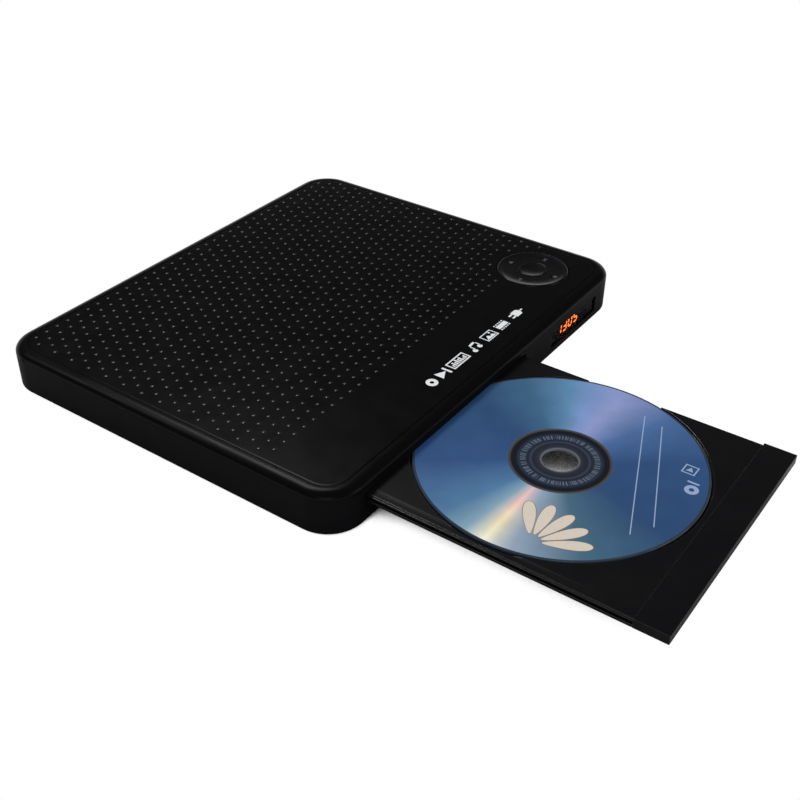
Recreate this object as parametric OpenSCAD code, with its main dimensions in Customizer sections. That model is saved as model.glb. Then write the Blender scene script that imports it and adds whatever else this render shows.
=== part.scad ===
// Slim disc player with a motorised tray.
// Millimetres, +Z up, the front faces -Y. The origin is at the middle of the
// whole footprint with the tray out, at the level that the feet stand on.
// Most modules draw in the case's own frame, whose origin is under the middle
// of the case; in_case(), on_spindle() and on_tray() put them in place.

/* [Case] */
// Width of the case
case_w = 236; // [232:1:260]
// Depth of the case, front to back
case_d = 194; // [190:1:220]
// Height of the case without its feet
case_h = 20.2; // [20:0.2:26]
// Radius of the four upright corners
corner_r = 17; // [12:0.5:20]
// Radius of the shoulder round the top
shoulder_r = 3; // [2:0.2:3]
// Height of the cover's rim above the parting line
cover_rim = 3.2; // [2.8:0.2:4]
// Thickness of the side walls
wall = 2; // [1.6:0.1:2.4]
// Thickness of the case's floor
floor_t = 1.6; // [1.2:0.1:1.8]
// Thickness of the cover's top plate
top_t = 1.8; // [1.4:0.1:2]
// Height of the rubber feet below the case
foot_h = 2.2; // [1.6:0.2:4]
// Radius of a rubber foot
foot_r = 6; // [4:0.5:8]

/* [Control pad] */
// Distance of the pad's centre from the right side of the case
pad_from_right = 30.5; // [28:0.5:34]
// Distance of the pad's centre from the front of the case
pad_from_front = 33; // [30:0.5:38]
// Outer radius of the rocker ring
ring_r = 18; // [17:0.5:20.5]
// Radius of the centre button
button_r = 7.2; // [5:0.2:9]
// How far the centre button goes down
button_travel = 0.35; // [0.2:0.05:0.4]

/* [Display] */
// Width of the display window
window_w = 44.5; // [40:0.5:48]
// Height of the display window
window_h = 8.2; // [7:0.2:8.6]
// Distance of the window's right end from the right side of the case
window_from_right = 23.5; // [23:0.5:26]

/* [Disc and tray] */
// Diameter of the disc
disc_d = 120; // [112:1:121]
// Diameter of the disc's hole
disc_hole_d = 15; // [15:0.1:16]
// Thickness of the disc
disc_t = 1.2; // [1.1:0.05:1.3]
// Distance of the tray's slot from the left side of the case
tray_from_left = 19.5; // [18:0.5:23]
// How far the tray comes out
tray_out = 128; // [90:1:130]
// Thickness of the tray at its edges
tray_t = 4.3; // [4.1:0.1:4.6]
// Height of the tray's underside above the case's underside
tray_rise = 9.6; // [9.4:0.1:10]
// Depth of the front bezel of the tray
bezel_d = 14; // [10:0.5:15]
// Depth of the disc's recess
recess_d = 1.1; // [0.9:0.1:1.3]
// Width of the sunk strip along the tray's left edge
margin_w = 2.6; // [1.6:0.2:3.4]
// Depth of that strip below the tray's top
margin_t = 0.4; // [0.2:0.1:0.6]

/* [Drive] */
// Module of the rack and its pinion
rack_module = 1; // [0.9:0.05:1.1]
// Teeth of the pinion that drives the rack
pinion_teeth = 16; // [15:1:18]
// Module of the reduction gears
wheel_module = 0.8; // [0.7:0.05:0.85]
// Teeth of the reduction wheel
wheel_teeth = 40; // [36:1:42]
// Teeth of the pulley's pinion
pulley_teeth = 14; // [13:1:16]
// Radius of the belt's run on the large pulley
pulley_r = 9; // [7:0.5:10]
// Radius of the belt's run on the motor's pulley
motor_pulley_r = 3.5; // [3:0.1:4.5]
// Radius of the loading motor
motor_r = 12.2; // [10:0.2:12.4]

/* [Traverse] */
// How far the traverse rises to seat the disc on its turntable
lift = 3; // [2.6:0.1:3]
// How far the pickup travels
sled_travel = 32; // [24:1:33]
// Radius of the turntable
turntable_r = 14; // [12:0.5:15.5]
// Slide of the cam bar that lifts the traverse
cam_travel = 11; // [9:0.5:12]

/* [Jacks] */
// Radius of an RCA socket's metal sleeve
rca_r = 4.15; // [4.1:0.05:4.2]
// Distance between neighbouring RCA sockets
rca_pitch = 13; // [12.6:0.1:13.6]
// Depth of the recess that the RCA sockets stand in
rca_recess = 8.6; // [7:0.2:9.4]

/* [Hidden] */
$fn = 64;

// Clearances
gap = 0.2;
run_gap = 0.3;
shaft_gap = 0.05;
eps = 0.01;

// Levels
floor_z = foot_h + floor_t;
top_z = foot_h + case_h;
ceil_z = top_z - top_t;
seam_z = top_z - cover_rim;
case_y = tray_out / 2;
front_y = -case_d / 2;
back_y = case_d / 2;
right_x = case_w / 2;
inner_front = front_y + wall;
inner_back = back_y - wall;

// Tray levels and edges, measured from the disc's axis
disc_r = disc_d / 2;
disc_x = -right_x + tray_from_left + disc_r + 3;
disc_from_front = bezel_d + disc_r + 3;
spindle_y = front_y + disc_from_front;
tray_z0 = foot_h + tray_rise;
tray_z1 = tray_z0 + tray_t;
seat_z = tray_z1 - recess_d;
plate_t = 1.6;
plate_z = seat_z - plate_t;
disc_z = seat_z + 0.03;
tray_left = -disc_r - 2.3;
tray_right = disc_r - 1.5;
flange_left = -disc_r - 3;
flange_right = disc_r;
inner_recess_r = disc_r - 19;
bezel_front = -disc_from_front;
bezel_back = bezel_front + bezel_d;
plate_back = disc_r + 8;
arm_w = 6.3;
margin_slope = 1.2;
flange_t = 1.4;
groove_t = 1.2;
groove_z = tray_z0 + flange_t;
ledge_z = groove_z + groove_t;
groove_in = 1.8;
slot_r = 18;

// Loader base
rail_gap = 0.4;
rail_t = 2;
rail_left = flange_left - rail_gap;
rail_right = flange_right + rail_gap;
rail_z1 = tray_z1 - gap;
rail_front = inner_front + 2 - spindle_y;
side_left = rail_left - rail_t - 4.8;
side_right = rail_right + rail_t + 4.8;
ear_z = floor_z + 3;
ledge_t = 1.4;
deck_t = 1.4;
deck_z = floor_z + deck_t;

// Gears and cam bar, measured from the disc's axis
trav_front = -30;
cam_y1 = trav_front - 1.6;
cam_y0 = cam_y1 - 3;
pinion_r = rack_module * pinion_teeth / 2;
wheel_r = wheel_module * wheel_teeth / 2;
pulley_pinion_r = wheel_module * pulley_teeth / 2;
gear_y = cam_y0 - wheel_r - 1.4;
rack_x = tray_right - 5.2;
gear_x = rack_x - pinion_r;
pulley_x = gear_x + wheel_r + pulley_pinion_r;
gear_z0 = tray_z0 + 0.15;
gear_z1 = plate_z - run_gap;
wheel_z0 = tray_z0 - 2.2;
wheel_z1 = tray_z0 - 0.4;
gear_post_r = 1.5;
pulley_z0 = tray_z1 + disc_t;
pulley_t = 2.6;
motor_x = pulley_x + 20;
motor_y = gear_y + 50;
motor_h = pulley_z0 - 0.2 - deck_z;
belt_w = 1.2;
lash = 0.14;
// Turn of the drive gear from the tray home to the tray out.
out_turn = -tray_out / pinion_r * 180 / PI;

// Traverse, measured from the disc's axis
trav_plate_z = foot_h + 6.4;
trav_plate_t = 0.8;
trav_x = 42;
trav_back = 82;
post_x = 37.5;
post_front = -24;
post_back = 77;
post_r = 1.5;
bush_r = 3.4;
// The tray's arms reach back to the last posts, and stay in the rails with the tray out.
arm_hold = 35;
arm_back = max(post_back + 4, tray_out - disc_from_front + wall + arm_hold);
rod_x = 27;
rod_r = 1.4;
rod_z = foot_h + 4.4;
screw_x = -36;
screw_r = 1.2;
screw_z = foot_h + 4.95;
screw_y1 = 72;
screw_pitch = 2;
feed_y0 = 0;
feed_motor_r = 2.8;
feed_motor_l = 14;
sled_y = 16;
sled_d = 24;
sled_w = 44;
sled_top = trav_plate_z + 0.7;
lens_y = sled_y + 8;
lens_z0 = foot_h + 4.8;
pin_r = 1;
pin_x = 22;
pin_z = foot_h + 4;
motor_can_h = 4.3;
hub_r = 6;
hub_z = trav_plate_z + 1.5;
platter_z = seat_z - lift - 0.05;
platter_t = 1.5;
cone_h = 1.2;
cone_r = disc_hole_d / 2 - 0.2;

// Clamp
bridge_z = tray_z1 + 1.2;
bridge_t = 1.2;
puck_r = 13.9;
puck_hole_r = puck_r + 0.4;
puck_z = tray_z1 + 0.4;
puck_top = bridge_z + bridge_t + 0.9;
magnet_z = puck_z + 1;

// Boards
board_t = 1.6;
board_z = floor_z + 3;
board_top = board_z + board_t;
board_x0 = disc_x + side_right + 4.8;
board_x1 = right_x - 6;
board_y0 = spindle_y + motor_y + motor_r + 5.8;
board_y1 = back_y - rca_recess - wall - gap;
display_y = inner_front + 8.6;
display_face = inner_front + 1.4;
pad_x = right_x - pad_from_right;
pad_y = front_y + pad_from_front;
ring_hole_r = ring_r + 0.4;
ring_z = ceil_z - 1.3;
stem_z = ring_z - 0.55;
key_board_z = ceil_z - 4.7;
key_board_t = 1.2;
key_board_w = 40;
switch_z = key_board_z + key_board_t;
key_posts = [[17, 17], [-17, -17], [17, -17]];
window_x1 = right_x - window_from_right;
window_x0 = window_x1 - window_w;
window_z0 = foot_h + 4.2;
rca_z = foot_h + 8.4;
rca_x = right_x - 62;
rca_recess_w = 3 * rca_pitch + 4;
rca_recess_z0 = floor_z + 0.6;
rca_recess_z1 = seam_z - 1.8;
usb_x = right_x - 31.4;
usb_w = 13.1;
usb_h = 5.7;
dc_x = right_x - 19.5;
dc_z = board_top + 4.6;
dc_nose_r = 3.9;
knob_x = right_x - wall - 0.5;
knob_y = 36;
knob_l = 3.4;
knob_h = 2.2;
knob_z = board_top + 1.4;
knob_travel = 3;
cable_y0 = spindle_y + 44;
cable_w = 16;
cable_rise_x = board_x0 - 1.9;
cable_x1 = board_x0 + 2;
vent_x = board_x1 - 52;
processor_w = 24;
processor_x = board_x0 + 20.5;
processor_y = board_y0 + 20;
memory_w = 10;
memory_x = board_x0 + 7.5;

// Screws
screw_shank_r = 1.5;
screw_head_r = 2.8;
screw_head_t = 1.6;
boss_r = 3.6;
cover_post_z = floor_z + 10.2;
foot_seat = 0.6;
groove_inset = 5.8;

corner_posts = [[-right_x + 11, front_y + 11], [right_x - 11, front_y + 11],
    [-right_x + 11, back_y - 11], [right_x - 11, back_y - 11]];
foot_spots = [[-right_x + 24, front_y + 24], [right_x - 24, front_y + 24],
    [-right_x + 24, back_y - 24], [right_x - 24, back_y - 24]];
board_posts = [[board_x0 + 4, board_y0 + 4], [board_x1 - 4, board_y0 + 4],
    [board_x0 + 4, board_y1 - 18], [board_x1 - 4, board_y1 - 18]];
// Measured from the disc's axis.
loader_ears = [[side_left, -50], [side_left, 66], [side_right, -28], [side_right, 72]];
bridge_posts = [for (x = [side_left, side_right], y = [-12, 12]) [x, y]];

module in_case() translate([0, case_y, 0]) children();
module on_spindle() in_case() translate([disc_x, spindle_y, 0]) children();
module on_tray() on_spindle() translate([0, -tray_out, 0]) children();

// A box given by its lowest and highest corners.
module bar(x0, x1, y0, y1, z0, z1) translate([x0, y0, z0]) cube([x1 - x0, y1 - y0, z1 - z0]);

// An upright cylinder between two levels.
module post(x, y, r, z0, z1) translate([x, y, z0]) cylinder(r = r, h = z1 - z0);

// A cylinder along Y between two stations.
module rod_y(x, z, r, y0, y1) translate([x, y0, z]) rotate([-90, 0, 0]) cylinder(r = r, h = y1 - y0);

// A tube standing on z0.
module ring(x, y, r_out, r_in, z0, z1) difference() {
    post(x, y, r_out, z0, z1);
    post(x, y, r_in, z0 - 1, z1 + 1);
}

// A slab with round upright corners.
module slab(w, d, r, z0, z1) {
    bar(-w / 2 + r, w / 2 - r, -d / 2, d / 2, z0, z1);
    bar(-w / 2, w / 2, -d / 2 + r, d / 2 - r, z0, z1);
    for (sx = [-1, 1], sy = [-1, 1]) post(sx * (w / 2 - r), sy * (d / 2 - r), r, z0, z1);
}

// Section of a slab's rim: a rectangle with its outer top corner rounded by e.
module rim_section(r, h, e) {
    square([r, h - e]);
    square([r - e, h]);
    intersection() {
        translate([r - e, h - e]) circle(r = e);
        square([r, h]);
    }
}

// A slab from 0 to h whose top edge is rounded by e all the way round.
module soft_slab(w, d, r, h, e) {
    bar(-w / 2 + r, w / 2 - r, -d / 2 + r, d / 2 - r, 0, h);
    for (side = [0, 1]) {
        long = side == 0 ? w : d;
        deep = side == 0 ? d : w;
        for (turn = [0, 180]) rotate([0, 0, turn + 90 * side])
            translate([-long / 2 + r, deep / 2 - r, 0])
                rotate([90, 0, 90]) linear_extrude(height = long - 2 * r) rim_section(r, h, e);
    }
    for (turn = [0, 90, 180, 270]) {
        sx = turn == 0 || turn == 270 ? 1 : -1;
        sy = turn < 180 ? 1 : -1;
        translate([sx * (w / 2 - r), sy * (d / 2 - r), 0])
            rotate([0, 0, turn]) rotate_extrude(angle = 90) rim_section(r, h, e);
    }
}

// Gears. A tooth's flank is the involute of the base circle.
function involute(base_r, t) = base_r * [cos(t) + t * PI / 180 * sin(t), sin(t) - t * PI / 180 * cos(t)];
function turned(p, a) = [p.x * cos(a) - p.y * sin(a), p.x * sin(a) + p.y * cos(a)];
function roll_angle(base_r, r) = r <= base_r ? 0 : sqrt(r * r / (base_r * base_r) - 1) * 180 / PI;

module gear(m, teeth, z0, z1) {
    pressure = 20;
    pitch_r = m * teeth / 2;
    base_r = pitch_r * cos(pressure);
    root_r = pitch_r - 1.15 * m;
    tip_r = pitch_r + 0.85 * m;
    half = 90 / teeth - lash / pitch_r * 180 / PI + (tan(pressure) * 180 / PI - pressure);
    first = roll_angle(base_r, root_r);
    last = roll_angle(base_r, tip_r);
    steps = 3;
    flank = [for (i = [0 : steps]) involute(base_r, first + (last - first) * i / steps)];
    tooth = concat([turned([root_r, 0], -half)],
        [for (i = [0 : steps]) turned(flank[i], -half)],
        [for (i = [steps : -1 : 0]) turned([flank[i].x, -flank[i].y], half)],
        [turned([root_r, 0], half)]);
    outline = [for (k = [0 : teeth - 1], p = tooth) turned(p, 360 * k / teeth)];
    translate([0, 0, z0]) linear_extrude(height = z1 - z0) polygon(outline);
}

// A rack along Y whose teeth point to -X; its spaces are centred on y = 0.
module rack_teeth(m, y0, y1, z0, z1) {
    pitch = PI * m;
    slope = tan(20);
    half = pitch / 4 - lash;
    tip = half - 0.85 * m * slope;
    root = half + 1.15 * m * slope;
    for (k = [ceil(y0 / pitch - 0.5) + 1 : floor(y1 / pitch - 0.5) - 1])
        translate([0, (k + 0.5) * pitch, z0]) linear_extrude(height = z1 - z0)
            polygon([[1.15 * m, -root], [-0.85 * m, -tip], [-0.85 * m, tip], [1.15 * m, root]]);
}

// ---- Case ----

module bottom_case() color("#1c1c1e") in_case() difference() {
    union() {
        difference() {
            translate([0, 0, seam_z]) mirror([0, 0, 1])
                soft_slab(case_w, case_d, corner_r, seam_z - foot_h, 1.2);
            slab(case_w - 2 * wall, case_d - 2 * wall, corner_r - wall, floor_z, seam_z + 1);
        }
        for (p = corner_posts) post(p.x, p.y, boss_r, floor_z, cover_post_z);
        for (p = board_posts) post(p.x, p.y, 2.8, floor_z, board_z);
        for (p = loader_ears) post(disc_x + p.x, spindle_y + p.y, 3, floor_z, ear_z);
        for (y = [display_y - board_t - 1.3, display_y + 0.1], x = [window_x1 - 42.5, window_x1 - 8])
            bar(x, x + 6, y, y + 1.2, floor_z, floor_z + 2.6);
        bar(rca_x - rca_recess_w / 2 - wall, rca_x + rca_recess_w / 2 + wall,
            back_y - rca_recess - wall, back_y - wall, floor_z, seam_z);
    }
    bar(disc_x + flange_left - 0.5, disc_x + flange_right + 0.5, front_y - 1, inner_front + eps,
        tray_z0 - run_gap, tray_z1 + 0.5);
    bar(window_x0 - 0.15, window_x1 + 0.15, front_y - 1, inner_front + 1,
        window_z0 - 0.15, window_z0 + window_h + 0.15);
    for (p = foot_spots) post(p.x, p.y, foot_r + 0.1, foot_h - 1, foot_h + foot_seat);
    for (p = corner_posts) {
        post(p.x, p.y, screw_head_r + 0.3, foot_h - 1, foot_h + 3.2);
        post(p.x, p.y, screw_shank_r + shaft_gap, foot_h, cover_post_z + 1);
    }
    for (p = board_posts) post(p.x, p.y, screw_shank_r + shaft_gap, floor_z - 0.6, board_z + 1);
    for (p = loader_ears) post(disc_x + p.x, spindle_y + p.y, screw_shank_r + shaft_gap, floor_z - 0.6, ear_z + 1);
    bar(rca_x - rca_recess_w / 2, rca_x + rca_recess_w / 2, back_y - rca_recess, back_y + 1,
        rca_recess_z0, rca_recess_z1);
    for (k = [-1, 0, 1])
        rod_y(rca_x + k * rca_pitch, rca_z, rca_r + gap, back_y - rca_recess - wall - 1, back_y - rca_recess + 1);
    bar(usb_x - usb_w / 2 - gap, usb_x + usb_w / 2 + gap, inner_back - 1, back_y + 1,
        board_top - gap, board_top + usb_h + gap);
    rod_y(dc_x, dc_z, dc_nose_r + gap, inner_back - 1, back_y + 1);
    bar(right_x - wall - 1, right_x + 1, knob_y - knob_l / 2 - gap, knob_y + knob_l / 2 + knob_travel + gap,
        knob_z - gap, knob_z + knob_h + gap);
    for (k = [0 : 8]) bar(vent_x + 5 * k, vent_x + 5 * k + 2, 0, 34, foot_h - 1, floor_z + 1);
}

module top_cover() color("#1f1f21") in_case() difference() {
    union() {
        difference() {
            translate([0, 0, seam_z]) soft_slab(case_w, case_d, corner_r, cover_rim, shoulder_r);
            slab(case_w - 2 * wall, case_d - 2 * wall, corner_r - wall, seam_z - 1, ceil_z);
        }
        // The tongue that drops inside the lower moulding's wall.
        difference() {
            slab(case_w - 2 * wall - 0.3, case_d - 2 * wall - 0.3, corner_r - wall - 0.15, seam_z - 1.4, ceil_z + eps);
            slab(case_w - 2 * wall - 2.6, case_d - 2 * wall - 2.6, corner_r - wall - 1.3, seam_z - 2, ceil_z);
            bar(rca_x - rca_recess_w / 2 - wall - gap, rca_x + rca_recess_w / 2 + wall + gap,
                back_y - rca_recess - wall - gap, back_y, seam_z - 2, seam_z + gap);
        }
        for (p = corner_posts) post(p.x, p.y, boss_r, cover_post_z, ceil_z + eps);
        for (p = key_posts) post(pad_x + p.x, pad_y + p.y, 2.4, switch_z, ceil_z + eps);
    }
    // The fine groove that sets the inner plate off from the shoulder.
    difference() {
        slab(case_w - 2 * groove_inset, case_d - 2 * groove_inset, corner_r - groove_inset, top_z - 0.35, top_z + 1);
        slab(case_w - 2 * groove_inset - 1, case_d - 2 * groove_inset - 1, corner_r - groove_inset - 0.5,
            top_z - 1, top_z + 2);
    }
    post(pad_x, pad_y, ring_hole_r, ceil_z - 1, top_z + 1);
    for (p = corner_posts) post(p.x, p.y, screw_shank_r + shaft_gap, cover_post_z - 1, ceil_z - 0.6);
    for (p = key_posts) post(pad_x + p.x, pad_y + p.y, 1 + shaft_gap, switch_z - 1, ceil_z - 0.4);
}

module rubber_feet() color("#2a2a2a") in_case()
    for (p = foot_spots) post(p.x, p.y, foot_r, 0, foot_h + foot_seat);

module case_screws() color("silver") in_case() for (p = corner_posts) {
    head_z = foot_h + 3.2 - screw_head_t;
    difference() {
        post(p.x, p.y, screw_head_r, head_z, head_z + screw_head_t);
        bar(p.x - 1.8, p.x + 1.8, p.y - 0.4, p.y + 0.4, head_z - 1, head_z + 0.8);
        bar(p.x - 0.4, p.x + 0.4, p.y - 1.8, p.y + 1.8, head_z - 1, head_z + 0.8);
    }
    post(p.x, p.y, screw_shank_r, head_z + screw_head_t, cover_post_z + 4);
}

// ---- Control pad ----

module control_ring() color("#242427") in_case() translate([pad_x, pad_y, 0]) difference() {
    union() {
        post(0, 0, ring_r, ring_z, top_z + 0.3);
        post(0, 0, ring_hole_r + 1, ring_z, ring_z + 0.9);
        for (a = [0 : 90 : 270]) rotate([0, 0, a]) post(13.5, 0, 1.6, ring_z - 0.3, ring_z + eps);
    }
    // The face is dished towards the centre button.
    translate([0, 0, top_z - 0.5]) cylinder(r1 = button_r, r2 = ring_r - 0.8, h = 0.8 + eps);
    post(0, 0, button_r + 0.4, ring_z - 1, top_z + 2);
}

module centre_button() color("#262629") in_case() translate([pad_x, pad_y, 0]) difference() {
    union() {
        post(0, 0, button_r, ring_z + 0.3, top_z - 0.2);
        post(0, 0, 2, stem_z + button_travel + shaft_gap, ring_z + 0.4);
    }
    translate([0, 0, top_z - 0.2 - 0.5 + 30]) sphere(r = 30, $fn = 96);
}

module key_board() color("#1e4d2b") in_case() difference() {
    bar(pad_x - key_board_w / 2, pad_x + key_board_w / 2, pad_y - key_board_w / 2, pad_y + key_board_w / 2,
        key_board_z, switch_z);
    post(corner_posts[1].x, corner_posts[1].y, boss_r + 0.6, key_board_z - 1, switch_z + 1);
    for (p = key_posts) post(pad_x + p.x, pad_y + p.y, 1 + shaft_gap, key_board_z - 1, switch_z + 1);
}

module key_switches() color("silver") in_case() translate([pad_x, pad_y, 0])
    for (p = concat([[0, 0]], [for (a = [0 : 90 : 270]) 13.5 * [cos(a), sin(a)]])) {
        bar(p.x - 2.6, p.x + 2.6, p.y - 2.6, p.y + 2.6, switch_z, switch_z + 1.2);
        post(p.x, p.y, 1.2, switch_z + 1.2, stem_z);
    }

// ---- Display ----

module display_window() color("#14141a", 0.6) in_case() {
    bar(window_x0, window_x1, front_y + 0.8, inner_front, window_z0, window_z0 + window_h);
    bar(window_x0 - 1.2, window_x1 + 1.2, inner_front, inner_front + 1, window_z0 - 1.2, window_z0 + window_h + 1.2);
}

// The block sits low behind the window, so that its figures show from above through the case's wall.
module led_display() color("#101014") in_case()
    bar(window_x1 - 36, window_x1 - 9, display_face, display_y - board_t, window_z0 - 2, window_z0 + window_h - 2.8);

// Four figures of seven bars each on the display's face.
module display_digits() color("orangered") in_case() for (k = [0 : 3])
    translate([window_x1 - 32.3 + 5.4 * k, display_face - 0.25, window_z0 - 0.9]) {
        for (z = [0, 2.4, 4.8]) bar(0.6, 3.2, 0, 0.25, z, z + 0.6);
        for (x = [0, 3.3], z = [0.65, 3.05]) bar(x, x + 0.55, 0, 0.25, z, z + 1.7);
    }

module ir_receiver() color("#18181c") in_case() {
    bar(window_x1 - 8, window_x1 - 2, display_face + 1, display_y - board_t, window_z0 + 1, window_z0 + window_h - 1);
    translate([window_x1 - 5, display_face + 1, window_z0 + window_h / 2]) rotate([90, 0, 0])
        cylinder(r = 2, h = 0.9);
}

module display_board() color("#1e4d2b") in_case()
    bar(window_x0 + 1.5, window_x1 + 6, display_y - board_t, display_y, floor_z, window_z0 + window_h + 2);

// ---- Main board ----

module main_board() color("#1f5a33") in_case() difference() {
    union() {
        bar(board_x0, board_x1, board_y0, board_y1, board_z, board_top);
        bar(min(board_x0, rca_x - rca_pitch - 5.4), board_x1, board_y1 - 14, board_y1, board_z, board_top);
    }
    for (p = board_posts) post(p.x, p.y, screw_shank_r + shaft_gap, board_z - 1, board_top + 1);
    post(corner_posts[3].x, corner_posts[3].y, boss_r + 0.5, board_z - 1, board_top + 1);
}

// A chip on the main board, given by its left front corner and its size.
module chip(x, y, w, d, h) bar(x, x + w, y, y + d, board_top, board_top + h);

module processor_chip() color("#1a1a1c") in_case() chip(processor_x, processor_y, processor_w, processor_w, 1.6);

module heat_sink() color("gainsboro") in_case() {
    x = processor_x + 2;
    y = processor_y + 2;
    w = processor_w - 4;
    bar(x, x + w, y, y + w, board_top + 1.6, board_top + 3.2);
    for (k = [0 : 6]) bar(x + 3.1 * k, x + 3.1 * k + 1.4, y, y + w, board_top + 3.2, board_top + 8);
}

module memory_chips() color("#17171a") in_case() {
    chip(memory_x, board_y0 + 11, memory_w, 18, 1.2);
    chip(memory_x, board_y0 + 31, memory_w, 12, 1.2);
    chip(memory_x + 13.5, board_y0 + 11, 8, 7, 1.4);
    chip(memory_x + 25.5, board_y0 + 11, 5, 6, 1.4);
}

module capacitors() color("#2b2b30") in_case() {
    for (x = [14, 24, 34]) post(board_x0 + x, board_y1 - 22, 3.9, board_top, board_top + 8);
    for (y = [14, 20, 26]) post(board_x0 + 48.3, board_y0 + y, 2.5, board_top, board_top + 5.5);
}

module board_connectors() color("ivory") in_case() {
    bar(cable_x1, cable_x1 + 5, cable_y0 - 1, cable_y0 + cable_w + 1, board_top, board_top + 4.6);
    chip(board_x0 + 9, board_y0 + 3, 10, 5, 5);
    chip(board_x0 + 22, board_y0 + 3, 16, 5, 5);
}

module rca_housings() color("#17171a") in_case() for (k = [-1, 0, 1])
    bar(rca_x + k * rca_pitch - 5, rca_x + k * rca_pitch + 5, board_y1 - 13, board_y1,
        board_top, rca_z + 5);

module rca_sleeves() color("silver") in_case() for (k = [-1, 0, 1]) difference() {
    union() {
        rod_y(rca_x + k * rca_pitch, rca_z, rca_r, back_y - rca_recess, back_y);
        rod_y(rca_x + k * rca_pitch, rca_z, rca_r - 0.25, board_y1, back_y - rca_recess + eps);
    }
    rod_y(rca_x + k * rca_pitch, rca_z, rca_r - 0.7, board_y1 - 1, back_y + 1);
}

module rca_inserts() color("gold") in_case() for (k = [-1, 0, 1]) difference() {
    rod_y(rca_x + k * rca_pitch, rca_z, rca_r - 0.7 - shaft_gap, board_y1, back_y - 0.8);
    rod_y(rca_x + k * rca_pitch, rca_z, 1.6, board_y1 + 1, back_y);
}

module usb_socket() color("silver") in_case() difference() {
    bar(usb_x - usb_w / 2, usb_x + usb_w / 2, board_y1 - 7, back_y - 0.2, board_top, board_top + usb_h);
    difference() {
        bar(usb_x - usb_w / 2 + 0.35, usb_x + usb_w / 2 - 0.35, board_y1, back_y,
            board_top + 0.35, board_top + usb_h - 0.35);
        bar(usb_x - 5.6, usb_x + 5.6, board_y1, back_y - 1.5, board_top + 1.2, board_top + 3);
    }
}

module power_jack() color("#151517") in_case() difference() {
    union() {
        bar(dc_x - 4.5, dc_x + 4.5, board_y1 - 6, inner_back - gap, board_top, dc_z + 4.5);
        rod_y(dc_x, dc_z, dc_nose_r, inner_back - gap, back_y - 0.4);
    }
    difference() {
        rod_y(dc_x, dc_z, 2.8, back_y - 9.8, back_y + 1);
        rod_y(dc_x, dc_z, 1, back_y - 10, back_y - 1);
    }
}

module power_switch() color("silver") in_case()
    bar(board_x1 - 7, knob_x - 0.1, knob_y - 6, knob_y + 9, board_top, knob_z + knob_h + 1.2);

module power_knob() color("#1c1c1e") in_case()
    bar(knob_x, right_x - 0.3, knob_y - knob_l / 2, knob_y + knob_l / 2, knob_z, knob_z + knob_h);

module board_screws() color("silver") in_case() for (p = board_posts) {
    post(p.x, p.y, screw_head_r, board_top, board_top + screw_head_t);
    post(p.x, p.y, screw_shank_r, floor_z, board_top + eps);
}

// ---- Tray ----

// Section of the tray's side: lip, ledge, groove and flange.
module tray_side(edge, flange, inner) translate([0, arm_back, 0]) rotate([90, 0, 0])
    linear_extrude(height = arm_back - bezel_back)
        polygon([[flange - inner, tray_z0], [flange, tray_z0], [flange, groove_z], [edge - groove_in, groove_z],
            [edge - groove_in, ledge_z], [edge + 0.5, ledge_z], [edge + 0.5, seat_z], [edge, seat_z],
            [edge, tray_z1], [edge - arm_w, tray_z1], [edge - arm_w, plate_z], [flange - inner, plate_z]]);

// The strip sunk along the left edge, with a slope up to the tray's top.
module tray_margin() translate([0, arm_back + 1, 0]) rotate([90, 0, 0])
    linear_extrude(height = arm_back - bezel_back + 2)
        polygon([[tray_left - 1, tray_z1 - margin_t], [tray_left + margin_w, tray_z1 - margin_t],
            [tray_left + margin_w + margin_slope, tray_z1], [tray_left + margin_w + margin_slope, tray_z1 + 1],
            [tray_left - 1, tray_z1 + 1]]);

module tray() color("#19191b") on_tray() difference() {
    union() {
        bar(tray_left + arm_w - 1, tray_right - arm_w + 1, bezel_back, plate_back, plate_z, tray_z1);
        mirror([1, 0, 0]) tray_side(-tray_left, -flange_left, 4.4);
        tray_side(tray_right, flange_right, 4);
        translate([rack_x, gear_y, 0])
            rack_teeth(rack_module, bezel_back - gear_y, arm_back - gear_y, tray_z0, plate_z);
        bar(rack_x + 1.1 * rack_module, flange_right - 3.9, bezel_back, arm_back, tray_z0, plate_z + eps);
    }
    tray_margin();
    post(0, 0, disc_r + 1, seat_z, tray_z1 + 1);
    post(0, 0, inner_recess_r, seat_z - 0.7, tray_z1 + 1);
    post(0, 0, slot_r, plate_z - 1, tray_z1 + 1);
    bar(-slot_r, slot_r, 0, plate_back - 8, plate_z - 1, tray_z1 + 1);
}

module tray_bezel() color("#1b1b1e") on_tray() {
    difference() {
        bar(flange_left, flange_right, bezel_front, bezel_back - 0.05, tray_z0, tray_z1);
        bar(flange_left + 2, flange_right - 2, bezel_front + 2, bezel_back - 2, tray_z0 - 1, tray_z0 + 2);
    }
    // Two tabs that clip under the tray's plate.
    for (x = [-34, 20]) bar(x, x + 12, bezel_back - 0.1, bezel_back + 5, plate_z - 1.3, plate_z - 0.05);
}

module disc() color("#4f7fb5") on_tray() ring(0, 0, disc_r, disc_hole_d / 2, disc_z, disc_z + disc_t);

// ---- Loader ----

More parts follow.
